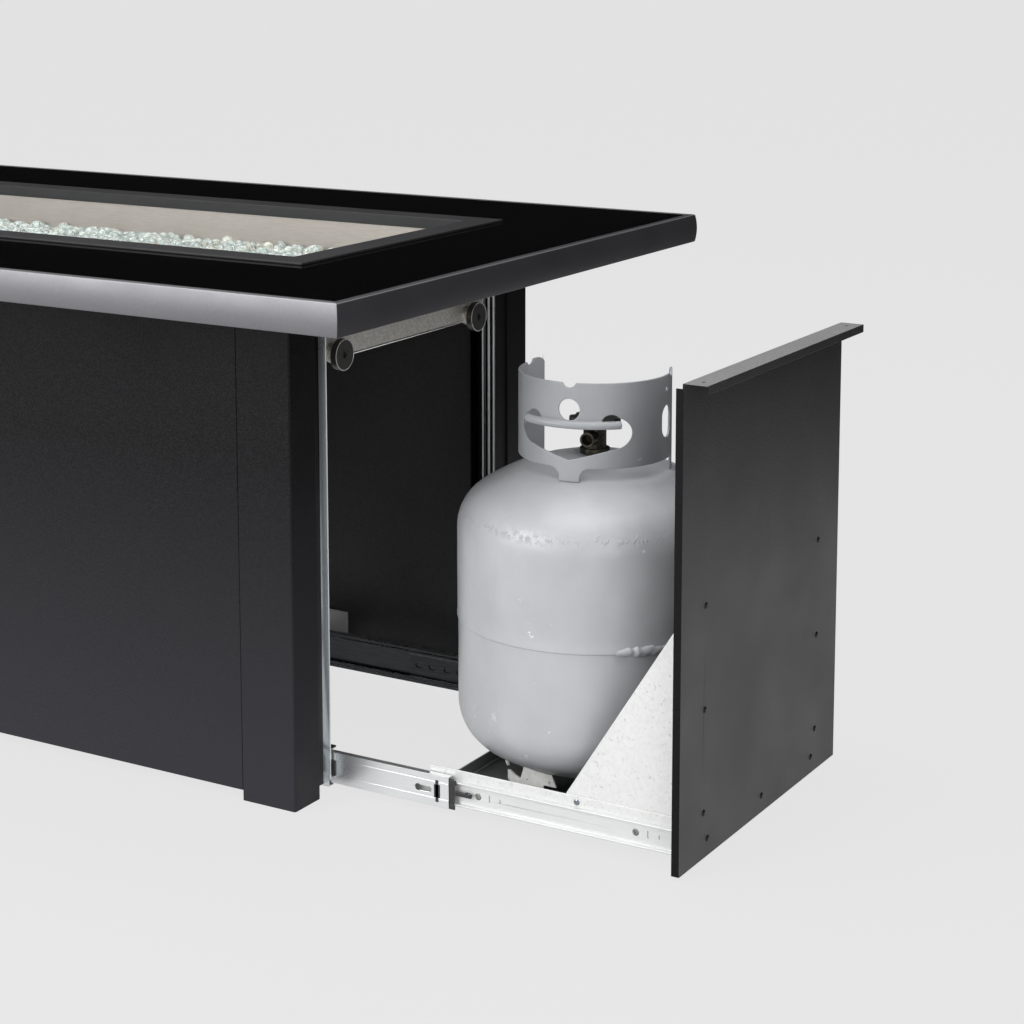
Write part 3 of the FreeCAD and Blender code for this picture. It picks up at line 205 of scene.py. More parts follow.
def blackGlass():
    # dark glass with a little dust and a few bright motes
    finish, tree, shader = newFinish("blackGlass", topGlass["colour"], topGlass["roughness"])
    shader.inputs["Specular IOR Level"].default_value = topGlass["gloss"]
    vector = place(tree)
    dust = noise(tree, vector, *topGlass["dust"])
    smear = noise(tree, vector, *topGlass["smear"])
    coat = ramp(tree, dust, topGlass["dustStops"], (topGlass["colour"], topGlass["dustColour"]))
    mote = spread(tree, cells(tree, vector, topGlass["motes"], "Distance"), *topGlass["moteShare"])
    few = spread(tree, cells(tree, vector, topGlass["motes"]), *topGlass["fewShare"])
    coat = blend(tree, combine(tree, "MULTIPLY", mote, few), coat, topGlass["moteColour"])
    coatWith(tree, shader, coat, spread(tree, smear, *topGlass["sheen"]))
    return finish


streaks = {"detail": (4.0, 0.6), "stops": (0.25, 0.75), "cloud": (11, 3.0), "sheenHalf": 0.07,
           "relief": (0.12, 0.0002)}


def brushed(name, dark, light, roughness, stretch, metallic, scale=40):
    # streaks that follow the long side
    finish, tree, shader = newFinish(name, light, roughness, metallic)
    streak = noise(tree, place(tree, stretch), scale, *streaks["detail"])
    cloud = noise(tree, place(tree), *streaks["cloud"])
    half = streaks["sheenHalf"]
    coatWith(tree, shader, ramp(tree, streak, streaks["stops"], (dark, light)),
             spread(tree, cloud, roughness - half, roughness + half))
    bump(tree, shader, streak, *streaks["relief"])
    return finish


zinc = {
    "colour": (0.62, 0.625, 0.62), "roughness": 0.45, "metallic": 0.3,
    "crystals": 300, "stops": (0.1, 0.9), "tints": ((0.6, 0.605, 0.6), (0.65, 0.655, 0.65)),
    "sheen": (0.36, 0.52, 0.0, 1.0), "grain": (900, 2.0), "relief": (0.1, 0.0002),
    "speck": (230, 4.0, 0.7), "speckShare": (0.0, 0.7, 0.61, 0.68), "speckColour": (0.36, 0.365, 0.365),
}


def spangle():
    # zinc crystals of dipped sheet, with fine dark specks
    finish, tree, shader = newFinish("spangledZinc", zinc["colour"], zinc["roughness"], zinc["metallic"])
    vector = place(tree)
    crystal = cells(tree, vector, zinc["crystals"])
    grain = noise(tree, vector, *zinc["grain"])
    speck = noise(tree, vector, *zinc["speck"])
    coat = ramp(tree, crystal, zinc["stops"], zinc["tints"])
    coat = blend(tree, spread(tree, speck, *zinc["speckShare"]), coat, zinc["speckColour"])
    coatWith(tree, shader, coat, spread(tree, crystal, *zinc["sheen"]))
    bump(tree, shader, grain, *zinc["relief"])
    return finish


nickel = {"colour": (0.58, 0.56, 0.52), "roughness": 0.42, "metallic": 0.6, "speck": (420, 3.0),
          "stops": (0.3, 0.7), "tints": ((0.46, 0.445, 0.41), (0.74, 0.72, 0.68)), "relief": (0.1, 0.0002)}


def speckledNickel():
    finish, tree, shader = newFinish("speckledNickel", nickel["colour"], nickel["roughness"],
                                     nickel["metallic"])
    speck = noise(tree, place(tree), *nickel["speck"])
    coatWith(tree, shader, ramp(tree, speck, nickel["stops"], nickel["tints"]))
    bump(tree, shader, speck, *nickel["relief"])
    return finish


enamel = {
    "roughness": 0.34, "cloud": (8, 5.0, 0.6), "cloudStops": (0.3, 0.7), "sheen": (0.28, 0.44),
    "run": (60, 3.0), "runStretch": (1, 1, 0.12), "runShare": (0.0, 0.35, 0.5, 0.75),
    "chip": (62, 6.0, 0.68), "chipShare": (0.0, 1.0, 0.68, 0.7),
    "scuff": (38, 7.0, 0.75), "scuffShare": (0.0, 0.6, 0.6, 0.66), "scuffHalf": 0.06,
    "dents": (14, 2.0), "dentRelief": (0.35, 0.004), "peel": (260, 2.0), "peelRelief": (0.2, 0.0004),
    "blister": (150, 4.0, 0.7), "blisterShare": (0.0, 1.0, 0.5, 0.68), "blisterHalf": 0.009,
    "blisterRelief": (0.55, 0.0018),
}


def cylinderPaint(name, dark, light, wear, blisterLevel=None, scuffLevel=None):
    # thick enamel over old dents, with runs and chips, and with belts of blisters and scuffs at given levels
    finish, tree, shader = newFinish(name, light, enamel["roughness"])
    vector = place(tree)
    cloud = noise(tree, vector, *enamel["cloud"])
    run = noise(tree, place(tree, enamel["runStretch"]), *enamel["run"])
    chip = noise(tree, vector, *enamel["chip"])
    coat = ramp(tree, cloud, enamel["cloudStops"], (dark, light))
    coat = blend(tree, spread(tree, run, *enamel["runShare"]), coat, dark)
    coat = blend(tree, spread(tree, chip, *enamel["chipShare"]), coat, wear)
    if scuffLevel:
        scuff = spread(tree, noise(tree, vector, *enamel["scuff"]), *enamel["scuffShare"])
        band = belt(tree, vector, scuffLevel, enamel["scuffHalf"])
        coat = blend(tree, combine(tree, "MULTIPLY", band, scuff), coat, wear)
    coatWith(tree, shader, coat, spread(tree, cloud, *enamel["sheen"]))
    relief = bump(tree, shader, noise(tree, vector, *enamel["dents"]), *enamel["dentRelief"])
    relief = bump(tree, shader, noise(tree, vector, *enamel["peel"]), *enamel["peelRelief"], relief)
    if blisterLevel:
        bubble = spread(tree, noise(tree, vector, *enamel["blister"]), *enamel["blisterShare"])
        band = belt(tree, vector, blisterLevel, enamel["blisterHalf"])
        bump(tree, shader, combine(tree, "MULTIPLY", band, bubble), *enamel["blisterRelief"], relief)
    return finish


footCoat = {
    "colour": (0.8, 0.8, 0.78), "roughness": 0.5, "cloud": (40, 4.0, 0.6), "stops": (0.3, 0.7),
    "tints": ((0.72, 0.71, 0.68), (0.92, 0.92, 0.9)),
    "rust": (110, 6.0, 0.7), "rustShare": (0.0, 1.0, 0.62, 0.67), "rustColour": (0.13, 0.075, 0.045),
    "sheen": (0.4, 0.75), "relief": (0.4, 0.0008),
}


def footPaint():
    # white paint worn through to rust
    finish, tree, shader = newFinish("footPaint", footCoat["colour"], footCoat["roughness"])
    vector = place(tree)
    cloud = noise(tree, vector, *footCoat["cloud"])
    rust = noise(tree, vector, *footCoat["rust"])
    coat = ramp(tree, cloud, footCoat["stops"], footCoat["tints"])
    coat = blend(tree, spread(tree, rust, *footCoat["rustShare"]), coat, footCoat["rustColour"])
    coatWith(tree, shader, coat, spread(tree, rust, *footCoat["sheen"]))
    bump(tree, shader, rust, *footCoat["relief"])
    return finish


fineGrain = {"detail": 2.0, "stops": (0.3, 0.75), "relief": (0.1, 0.0002)}


def grained(name, dark, light, roughness, metallic=0.0, scale=900):
    finish, tree, shader = newFinish(name, dark, roughness, metallic)
    speck = noise(tree, place(tree), scale, fineGrain["detail"])
    coatWith(tree, shader, ramp(tree, speck, fineGrain["stops"], (dark, light)))
    bump(tree, shader, speck, *fineGrain["relief"])
    return finish


alongDrawer, upSheet, acrossDrawer = (1, 25, 25), (25, 25, 1), (25, 1, 25)
alongCage, alongPan = (1, 20, 20), (1, 12, 12)
# painted light from the floor on the black walls and on the door, lighter towards the bottom
wallPaintedFloorLight = {"low": 0.02, "high": 0.4, "colour": (0.0245, 0.0232, 0.0275)}
doorPaintedFloorLight = {"low": 0.25, "high": 0.5, "colour": (0.04, 0.039, 0.042)}
finishes = {
    "rail_grey": railPaint("railPaint", (0.134, 0.132, 0.14), (0.188, 0.185, 0.197)),
    "top_glass": blackGlass(),
    "black_powder_coat": powderCoat("blackPowderCoat", (0.002, 0.0019, 0.0023), (0.009, 0.0085, 0.01),
                                    gloss=0.12, paintedFloorLight=wallPaintedFloorLight),
    "trim_grey": powderCoat("trimPowderCoat", (0.017, 0.017, 0.0182), (0.026, 0.026, 0.0276), gloss=0.25),
    "stainless": brushed("panSteel", (0.31, 0.282, 0.258), (0.37, 0.342, 0.315), 0.48, alongPan,
                         metallic=0.6, scale=60),
    "brass": grained("valveBronze", (0.13, 0.105, 0.065), (0.26, 0.21, 0.13), 0.34, metallic=0.9, scale=300),
    "fire_glass": grained("glassBed", (0.6, 0.68, 0.64), (0.75, 0.8, 0.75), 0.3),
    "ceramic": grained("electrodeCeramic", (0.72, 0.69, 0.62), (0.8, 0.78, 0.72), 0.25),
    "bright_zinc": brushed("brightZinc", (0.7, 0.715, 0.72), (0.78, 0.795, 0.8), 0.3, alongDrawer,
                           metallic=0.8),
    "galvanised_sheet": spangle(),
    "nickel": speckledNickel(),
    "magnet_black": grained("magnetCoat", (0.02, 0.0195, 0.019), (0.034, 0.033, 0.032), 0.42),
    "ball_cage": brushed("cageSteel", (0.3, 0.31, 0.32), (0.42, 0.43, 0.44), 0.3, alongCage, metallic=1.0),
    "black_screws": grained("blackScrews", (0.008, 0.008, 0.008), (0.016, 0.016, 0.016), 0.35, metallic=0.6),
    "cylinder_paint": cylinderPaint("cylinderPaint", (0.335, 0.345, 0.36), (0.4, 0.41, 0.425),
                                    (0.66, 0.66, 0.65), blisterLevel=0.322, scuffLevel=0.085),
    "black_plastic": grained("blackPlastic", (0.012, 0.012, 0.012), (0.022, 0.022, 0.022), 0.4),
}
ownFinishes = {
    # painted shade: a darker copy of the rail paint for the end rail
    "edge_rail_right": railPaint("railEndPaintedShade", (0.064, 0.063, 0.069), (0.09, 0.089, 0.097)),
    "door_panel": powderCoat("doorPowderCoat", (0.012, 0.0117, 0.013), (0.02, 0.0195, 0.0215), gloss=0.35,
                             paintedFloorLight=doorPaintedFloorLight),
    "tank_collar": cylinderPaint("collarPaint", (0.25, 0.26, 0.275), (0.32, 0.33, 0.345), (0.48, 0.48, 0.48)),
    "tank_valve": grained("dullBronze", (0.04, 0.038, 0.03), (0.12, 0.112, 0.085), 0.34, metallic=0.9,
                          scale=300),
    "inner_cage_back": brushed("shadedCage", (0.02, 0.022, 0.024), (0.05, 0.054, 0.057), 0.3, alongCage,
                               metallic=0.9),
    "inner_rail_front": brushed("innerRailZinc", (0.6, 0.61, 0.605), (0.66, 0.67, 0.665), 0.38, alongDrawer,
                                metallic=0.4),
    "inner_rail_back": brushed("backRailZinc", (0.6, 0.61, 0.605), (0.66, 0.67, 0.665), 0.38, alongDrawer,
                               metallic=0.4),
    "tank_foot": footPaint(),
    # painted shade: the far upright gets a darker copy of the upright zinc
    "upright_front": brushed("uprightZinc", (0.36, 0.4, 0.42), (0.5, 0.54, 0.56), 0.3, upSheet, metallic=0.8),
    "upright_back": brushed("farUprightPaintedShade", (0.14, 0.15, 0.155), (0.26, 0.27, 0.275), 0.3, upSheet,
                            metallic=0.8),
    "rail_screws": grained("railScrews", (0.16, 0.16, 0.15), (0.3, 0.3, 0.28), 0.3, metallic=0.9),
    "tray_screws": grained("trayScrews", (0.16, 0.18, 0.2), (0.28, 0.31, 0.34), 0.3, metallic=0.9),
}
finishOf = {node: ownFinishes.get(node, finishes[slot]) for node, slot in slotOf.items()}
for node, finish in finishOf.items():
    mesh = nodes[node].data
    mesh.materials.clear()
    mesh.materials.append(finish)
print("finishes set:", len(finishes) + len(ownFinishes))


# modelling steps that several pieces share

softening = {"merge": 0.00001, "flat": 0.5, "corner": 40, "segments": 2}
sides = {"front": -1, "back": 1}


def deselect():
    bpy.ops.object.select_all(action="DESELECT")


def startEditing():
    bpy.ops.object.mode_set(mode="EDIT")
    bpy.ops.mesh.select_all(action="SELECT")


def stopEditing():
    bpy.ops.object.mode_set(mode="OBJECT")


def activate(piece):
    deselect()
    piece.select_set(True)
    bpy.context.view_layer.objects.active = piece


def dress(piece, finish, slot, body, *replaced):
    piece.data.materials.clear()
    piece.data.materials.append(finish)
    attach(piece, body)
    if replaced:
        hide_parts(*replaced)


def midOf(low, high, way=2):
    return (low[way] + high[way]) / 2


def about(middle, half):
    return middle - half, middle + half


def past(end, reach):
    return [end + beyond for beyond in reach]


def copyNode(node, name):
    piece = bpy.data.objects.new(name, nodes[node].data.copy())
    scene.collection.objects.link(piece)
    piece.matrix_world = nodes[node].matrix_world
    activate(piece)
    bpy.ops.object.transform_apply(location=True, rotation=True, scale=True)
    startEditing()
    bpy.ops.mesh.remove_doubles(threshold=softening["merge"])
    bpy.ops.mesh.dissolve_limited(angle_limit=math.radians(softening["flat"]))
    bpy.ops.mesh.normals_make_consistent(inside=False)
    stopEditing()
    return piece


def softenEdges(piece, width):
    corner = math.radians(softening["corner"])
    activate(piece)
    edge = piece.modifiers.new("softEdge", "BEVEL")
    edge.width = width
    edge.segments = softening["segments"]
    edge.limit_method = "ANGLE"
    edge.angle_limit = corner
    edge.use_clamp_overlap = False
    bpy.ops.object.modifier_apply(modifier="softEdge")
    bpy.ops.object.shade_smooth_by_angle(angle=corner)
    piece.modifiers.new("flatFaces", "WEIGHTED_NORMAL").keep_sharp = True
    bpy.ops.object.modifier_apply(modifier="flatFaces")


def block(low, high, rounding=0):
    # a block between two corners, its edges rounded where a rounding is given
    middle = [midOf(low, high, way) for way in range(3)]
    deselect()
    bpy.ops.mesh.primitive_cube_add(size=1, location=middle)
    startEditing()
    bpy.ops.transform.resize(value=[end - start for start, end in zip(low, high)], center_override=middle)
    if rounding:
        bpy.ops.mesh.bevel(offset=rounding, segments=softening["segments"])
    stopEditing()
    bpy.ops.object.transform_apply(location=True)
    return bpy.context.object


def sideBlock(side, along, outward, up, rounding):
    # a block at one side of the drawer, given by its reach from the middle
    near, far = sorted(side * reach for reach in outward)
    return block((along[0], near, up[0]), (along[1], far, up[1]), rounding)


def joinPieces(name, parts):
    deselect()
    for part in parts:
        part.select_set(True)
    bpy.context.view_layer.objects.active = parts[0]
    bpy.ops.object.join()
    bpy.ops.object.transform_apply(location=True, rotation=True, scale=True)
    parts[0].name = name
    return parts[0]


def cutBy(piece, cutters):
    tool = joinPieces("cutter", cutters)
    activate(piece)
    cut = piece.modifiers.new("cut", "BOOLEAN")
    cut.solver = "EXACT"
    cut.object = tool
    bpy.ops.object.modifier_apply(modifier="cut")
    bpy.data.objects.remove(tool)


def paintFaces(piece, finish, chosen):
    piece.data.materials.append(finish)
    for face in piece.data.polygons:
        if chosen(face):
            face.material_index = len(piece.data.materials) - 1


def drawRings(name, axis, profile, segments):
    # a ring drawn up along a profile of radii and heights
    radius, height = profile[0]
    deselect()
    bpy.ops.mesh.primitive_circle_add(vertices=segments, radius=radius, location=(*axis, height))
    piece = bpy.context.object
    piece.name = name
    bpy.ops.object.transform_apply(location=True)
    startEditing()
    for (before, low), (after, high) in zip(profile, profile[1:]):
        bpy.ops.mesh.extrude_region_move(TRANSFORM_OT_translate={"value": (0, 0, high - low)})
        bpy.ops.transform.resize(value=(after / before, after / before, 1), center_override=(*axis, high))
    bpy.ops.mesh.select_all(action="SELECT")
    bpy.ops.mesh.fill_holes(sides=0)
    bpy.ops.mesh.normals_make_consistent(inside=False)
    stopEditing()
    return piece


def roughen(piece, strength, size):
    activate(piece)
    clouds = bpy.data.textures.new(piece.name + "Clouds", "CLOUDS")
    clouds.noise_scale = size
    relief = piece.modifiers.new("relief", "DISPLACE")
    relief.texture = clouds
    relief.texture_coords = "LOCAL"
    relief.strength = strength
    bpy.ops.object.modifier_apply(modifier="relief")


# cuts made in the solids before their edges are broken

recess = {"reach": 0.75, "half": 0.0006, "depth": 0.0007, "clear": 0.002, "rounding": 0.0001, "digits": 5}
socket = {"radius": 0.0043, "depth": 0.003, "sides": 6}
groove = {"places": (0.3, 0.68), "depth": 0.0013}
railSlot = {"fromEnd": (0.0426, 0.0226), "half": 0.003, "rounding": 0.0022}
railMarks = {"beyondScrew": (0.0145, 0.028), "halfHeights": (0.004, 0.002), "half": 0.0008,
             "rounding": 0.0001}
cageSlots = {"fromStart": (0.012, 0.032, 0.055, 0.074), "halfLength": 0.0055, "half": 0.0034,
             "rounding": 0.003}
doorTops = {"drop": 0.0055, "inset": 0.0062, "back": 0.0074, "clear": 0.002, "rounding": 0.0001}
notch = {"count": 7, "start": -126, "half": 0.0176, "flare": 1.75, "floor": 0.012, "depth": 0.03,
         "jag": 0.0012, "pieces": 3, "seed": 3}


def headSpots(node):
    # middles of the round heads at the corners of a node's box
    low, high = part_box(node)
    radius = (high[2] - low[2]) / 2
    alongs = sorted({round(along, recess["digits"]) for along in (low[0] + radius, high[0] - radius)})
    return radius, [(along, side * high[1], midOf(low, high)) for along in alongs for side in sides.values()]


def cutRecesses(piece, node):
    radius, spots = headSpots(node)
    long, thin = radius * recess["reach"], recess["half"]
    for wide, tall in ((long, thin), (thin, long)):
        bars = []
        for along, across, level in spots:
            reach = (abs(across) - recess["depth"], abs(across) + recess["clear"])
            bars.append(sideBlock(math.copysign(1, across), about(along, wide), reach, about(level, tall),
                                  recess["rounding"]))
        cutBy(piece, bars)


def cutSockets(piece, node):
    low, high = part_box(node)
    radius = (high[2] - low[2]) / 2
    tools = []
    for side in sides.values():
        at = (high[0], side * (high[1] - radius), midOf(low, high))
        bpy.ops.mesh.primitive_cylinder_add(vertices=socket["sides"], radius=socket["radius"],
                                            depth=2 * socket["depth"], location=at,
                                            rotation=(0, math.pi / 2, 0))
        tools.append(bpy.context.object)
    cutBy(piece, tools)


def cutGrooves(piece, node):
    low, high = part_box(node)
    radius = (high[2] - low[2]) / 2
    tools = []
    for share in groove["places"]:
        for side in sides.values():
            at = (low[0] + share * (high[0] - low[0]), side * (high[1] - radius), midOf(low, high))
            bpy.ops.mesh.primitive_torus_add(major_radius=radius, minor_radius=groove["depth"], location=at,
                                             rotation=(0, math.pi / 2, 0))
            tools.append(bpy.context.object)
    cutBy(piece, tools)


def throughBlock(low, high, along, half, tall, rounding):
    # a block that passes through a sheet from front to back, about the middle of its height
    bottom, top = about(midOf(low, high), tall)
    return block((along[0], low[1] - half, bottom), (along[1], high[1] + half, top), rounding)


def cutRailSlot(piece, node):
    low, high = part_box(node)
    along = [high[0] - back for back in railSlot["fromEnd"]]
    half = railSlot["half"]
    cutBy(piece, [throughBlock(low, high, along, half, half, railSlot["rounding"])])


def cutRailMarks(piece, node):
    low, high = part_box(node)
    half = railMarks["half"]
    tools = []
    for along in sorted({spot[0] for spot in headSpots("rail_screws")[1]}):
        for beyond, tall in zip(railMarks["beyondScrew"], railMarks["halfHeights"]):
            mark = about(along + beyond, half)
            tools.append(throughBlock(low, high, mark, half, tall, railMarks["rounding"]))
    cutBy(piece, tools)


def cutCageSlots(piece, node):
    low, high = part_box(node)
    half = cageSlots["half"]
    cutBy(piece, [throughBlock(low, high, about(low[0] + start, cageSlots["halfLength"]), half, half,
                               cageSlots["rounding"]) for start in cageSlots["fromStart"]])


def cutDoorTops(piece, node):
    # the side returns stop below the top flange
    low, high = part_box(node)
    clear = doorTops["clear"]
    along = (low[0] - clear, low[0] + doorTops["back"])
    across = (high[1] - doorTops["inset"], high[1] + clear)
    up = (high[2] - doorTops["drop"], high[2] + clear)
    cutBy(piece, [sideBlock(side, along, across, up, doorTops["rounding"]) for side in sides.values()])


def cutNotches(piece, node):
    # ragged notches down from the top of the foot ring
    low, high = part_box(node)
    radius = (high[0] - low[0]) / 2
    half, floor = notch["half"], low[2] + notch["floor"]
    inner, outer = about(radius, notch["depth"] / 2)
    wedge = block((inner, -half, floor), (outer, half, 2 * high[2] - floor))
    bpy.ops.object.mode_set(mode="EDIT")
    bpy.ops.mesh.select_all(action="DESELECT")
    stopEditing()
    for point in wedge.data.vertices:
        point.select = point.co.z > high[2]
    bpy.ops.object.mode_set(mode="EDIT")
    bpy.ops.transform.resize(value=(1, notch["flare"], 1), center_override=(radius, 0, high[2]))
    bpy.ops.mesh.select_all(action="SELECT")
    bpy.ops.mesh.subdivide(number_cuts=notch["pieces"])
    bpy.ops.transform.vertex_random(offset=notch["jag"], seed=notch["seed"])
    stopEditing()
    tools = []
    for count in range(notch["count"]):
        tool = bpy.data.objects.new("wedge", wedge.data.copy())
        scene.collection.objects.link(tool)
        tool.location = (midOf(low, high, 0), midOf(low, high, 1), 0)
        tool.rotation_euler = (0, 0, math.radians(notch["start"] + count * 360 / notch["count"]))
        tools.append(tool)
    bpy.data.objects.remove(wedge)
    cutBy(piece, tools)


cuts = {
    "rail_screws": cutRecesses, "magnet_screws": cutSockets,
    "magnet_spacers": cutGrooves, "tank_foot": cutNotches, "door_panel": cutDoorTops,
    "inner_cage_front": cutCageSlots, "inner_cage_back": cutCageSlots,
    "middle_rail_front": cutRailSlot, "middle_rail_back": cutRailSlot,
    "inner_rail_front": cutRailMarks, "inner_rail_back": cutRailMarks,
}


# sheet metal and small parts: the solids with their edges broken

softEdges = {
    "edge_rail_front": 0.0009, "edge_rail_back": 0.0009, "edge_rail_left": 0.0009, "edge_rail_right": 0.0009,
    "glass_top": 0.0006, "burner_trim": 0.0009,
    "post_front_left": 0.0009, "post_front_right": 0.0009,
    "post_back_left": 0.0009, "post_back_right": 0.0009,
    "front_panel": 0.0008, "back_panel": 0.0008, "left_panel": 0.0008,
    "upright_front": 0.0004, "upright_back": 0.0004, "catch_bar": 0.0004,
    "magnet_cups": 0.0003, "magnet_screws": 0.0003, "magnet_spacers": 0.0002,
    "outer_rail_front": 0.0004, "outer_rail_back": 0.0004, "middle_rail_front": 0.0004,
    "middle_rail_back": 0.0004, "inner_rail_front": 0.0004, "inner_rail_back": 0.0004,
    "inner_cage_front": 0.0002, "inner_cage_back": 0.0002, "rail_screws": 0.0001,
    "door_panel": 0.0006, "drawer_tray": 0.0005, "gusset_front": 0.0005, "gusset_back": 0.0005,
    "tank_foot": 0.0004, "tank_collar": 0.0008, "tank_valve": 0.0006, "tank_handwheel": 0.0012,
}

# painted shade on the door's side returns
doorSidePaintedShade = powderCoat("doorSidePaintedShadeCoat", (0.003, 0.003, 0.0034), (0.006, 0.006, 0.0066), gloss=0.1)
# painted highlight on the top of the door flange
doorFlangePaintedHighlight = powderCoat("doorFlangePaintedHighlightCoat", (0.16, 0.16, 0.163), (0.22, 0.22, 0.224), gloss=0.4)
# painted highlight on the bevelled top edges of the edge rails
railEdge = grained("railEdge", (0.2, 0.199, 0.206), (0.27, 0.268, 0.277), 0.42, metallic=0.6)
# painted light: a lighter copy of the black powder coat on the back panel's face toward the cylinder
insidePaintedLight = powderCoat("insidePaintedLight", (0.034, 0.0333, 0.036), (0.05, 0.049, 0.053), gloss=0.3)
# painted highlight: a much brighter zinc for the ridges and lines of the uprights
ridgePaintedHighlightZinc = brushed("ridgePaintedHighlightZinc", (0.84, 0.86, 0.86), (0.92, 0.94, 0.94), 0.34, upSheet, metallic=0.3)
ballSteel = grained("ballSteel", (0.3, 0.31, 0.32), (0.5, 0.51, 0.52), 0.2, metallic=0.9)
# painted shade: a darker copy of the galvanised sheet on the tray's inside faces
trayInsidePaintedShade = brushed("trayInsidePaintedShade", (0.2, 0.213, 0.207), (0.3, 0.316, 0.308), 0.34, alongCage, metallic=0.6)
# painted shade on the round sides of the magnet cups
cupSide = grained("cupSide", (0.05, 0.048, 0.044), (0.08, 0.077, 0.07), 0.4, metallic=0.8)
shadedSlide = brushed("shadedSlide", (0.025, 0.028, 0.031), (0.05, 0.054, 0.058), 0.32, alongDrawer,
                      metallic=0.9)

upright = {"cover": 0.1965, "line": 0.1832}
creases = {"upright_front": [-upright["cover"], -upright["line"]]}
facing = {"square": 0.9, "side": 0.8, "toward": 0.5, "bevel": 0.35, "round": 0.3}
marking = {"flange": 0.004, "ballRow": 0.0115, "trayArea": 0.002, "trayReach": 0.005}
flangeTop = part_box("door_panel")[1][2] - marking["flange"]
trayLow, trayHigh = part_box("drawer_tray")
slideLevel = midOf(*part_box("inner_cage_back"))


def scoreFaces(piece, places):
    # lines across the sheet where its finish changes
    activate(piece)
    bpy.ops.object.mode_set(mode="EDIT")
    for across in places:
        bpy.ops.mesh.select_all(action="SELECT")
        bpy.ops.mesh.bisect(plane_co=(0, across, 0), plane_no=(0, 1, 0))
    stopEditing()


def facesDoorSide(face):
    return face.normal.y < -facing["side"]


def facesUpOnFlange(face):
    return face.normal.z > facing["square"] and face.center.z > flangeTop


def facesTrayInside(face):
    inward = [midOf(trayLow, trayHigh, way) - face.center[way] for way in (0, 1)]
    inward.append(trayHigh[2] - face.center.z)
    return face.area > marking["trayArea"] and Vector(inward).dot(face.normal) > marking["trayReach"]


def facesRailEdge(face):
    return face.normal.z > facing["bevel"] and max(abs(face.normal.x), abs(face.normal.y)) > facing["bevel"]


def facesDrawer(face):
    return face.normal.x > facing["toward"]


def facesCovered(face):
    return facesDrawer(face) and abs(face.center.y) > upright["cover"]


def facesLine(face):
    return facesDrawer(face) and abs(face.center.y) < upright["line"]


def facesBallRow(face):
    return abs(face.center.z - slideLevel) > marking["ballRow"]


def facesRound(face):
    return abs(face.normal.x) < facing["round"]


def facesCylinder(face):
    return face.normal.y < -facing["toward"]


blackCoat = finishes["black_powder_coat"]
ownFaces = {
    "back_panel": ((insidePaintedLight, facesCylinder),),
    "upright_front": ((blackCoat, facesCovered), (ridgePaintedHighlightZinc, facesLine)),
    "upright_back": ((blackCoat, facesDrawer),),
    "door_panel": ((doorSidePaintedShade, facesDoorSide), (doorFlangePaintedHighlight, facesUpOnFlange)),
    "drawer_tray": ((trayInsidePaintedShade, facesTrayInside),),
    "magnet_cups": ((cupSide, facesRound),),
    "inner_cage_back": ((ballSteel, facesBallRow),),
}
for end in ("front", "back", "left", "right"):
    ownFaces["edge_rail_" + end] = ((railEdge, facesRailEdge),)
for rail in ("outer", "middle", "inner"):
    ownFaces[rail + "_rail_back"] = ((shadedSlide, facesCylinder),)


def softenSheets():
    for node, width in softEdges.items():
        words = node.split("_")
        piece = copyNode(node, words[0] + "".join(word.capitalize() for word in words[1:]) + "Soft")
        if node in cuts:
            cuts[node](piece, node)
        softenEdges(piece, width)
        if node in creases:
            scoreFaces(piece, creases[node])
        dress(piece, finishOf[node], slotOf[node], bodyOf[node], node)
        for finish, chosen in ownFaces.get(node, ()):
            paintFaces(piece, finish, chosen)


softenSheets()
print("edges broken:", len(softEdges))


# small parts of the slides, ridges of the uprights and the bright hem of the catch bar

slides = {
    "clip": {"fromEnd": (0.0188, 0.0111), "half": 0.0075, "arm": 0.0125, "armInset": 0.0018,
             "proud": 0.00035},
    "hooks": ((0.0003, 0.009, 0.011, 0.016), (0.0003, 0.0074, -0.018, -0.013)),
    "hookReach": (0.1756, 0.1772),
    "lever": {"fromEnd": (0.0074, 0.0264), "half": 0.0024, "reach": (0.1715, 0.1745),
              "pivot": (0.018, 0.0225)},
    "bumper": {"fromEnd": (-0.0026, 0.0075), "half": 0.009, "reach": (0.1785, 0.1799)},
    "tongue": {"fromEnd": (-0.0096, 0.0044), "thick": 0.0022, "reach": (0.172, 0.18)},
    "ridge": {"level": 0.0095, "half": 0.0012, "proud": 0.0003},
    "rounding": 0.0004,
}
hem = {"thick": 0.0028, "proud": 0.0006, "rounding": 0.0009, "corner": 60,
       "tints": ((0.75, 0.75, 0.73), (0.86, 0.86, 0.84)), "roughness": 0.22, "metallic": 0.8}
ridges = {"along": ((0.0002, 0.002), (0.0085, 0.0115), (0.0158, 0.0178)), "proud": 0.0006, "sunk": 0.0002,
          "start": 0.041, "rounding": 0.0003}


def dressParts(kind, name, parts, slot, body):
    dress(joinPieces(kind + name.capitalize(), parts), finishes[slot], slot, body)


def addLatch(name, side):
    # spring clip near the end of the middle rail, and two hooks at its end
    low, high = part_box("middle_rail_" + name)
    clip, end, level = slides["clip"], high[0], midOf(low, high)
    near, far = [end - back for back in clip["fromEnd"]]
    skin = about(max(abs(low[1]), abs(high[1])), clip["proud"])
    arm = (near + clip["armInset"], far - clip["armInset"])
    parts = [sideBlock(side, (near, far), skin, about(level, clip["half"]), clip["proud"] / 3),
             sideBlock(side, arm, skin, about(level, clip["arm"]), clip["proud"] / 3)]
    for start, stop, bottom, top in slides["hooks"]:
        parts.append(sideBlock(side, (end + start, end + stop), slides["hookReach"],
                               (level + bottom, level + top), slides["rounding"]))
    dressParts("slideLatch", name, parts, "black_plastic", bodyOf["middle_rail_" + name])


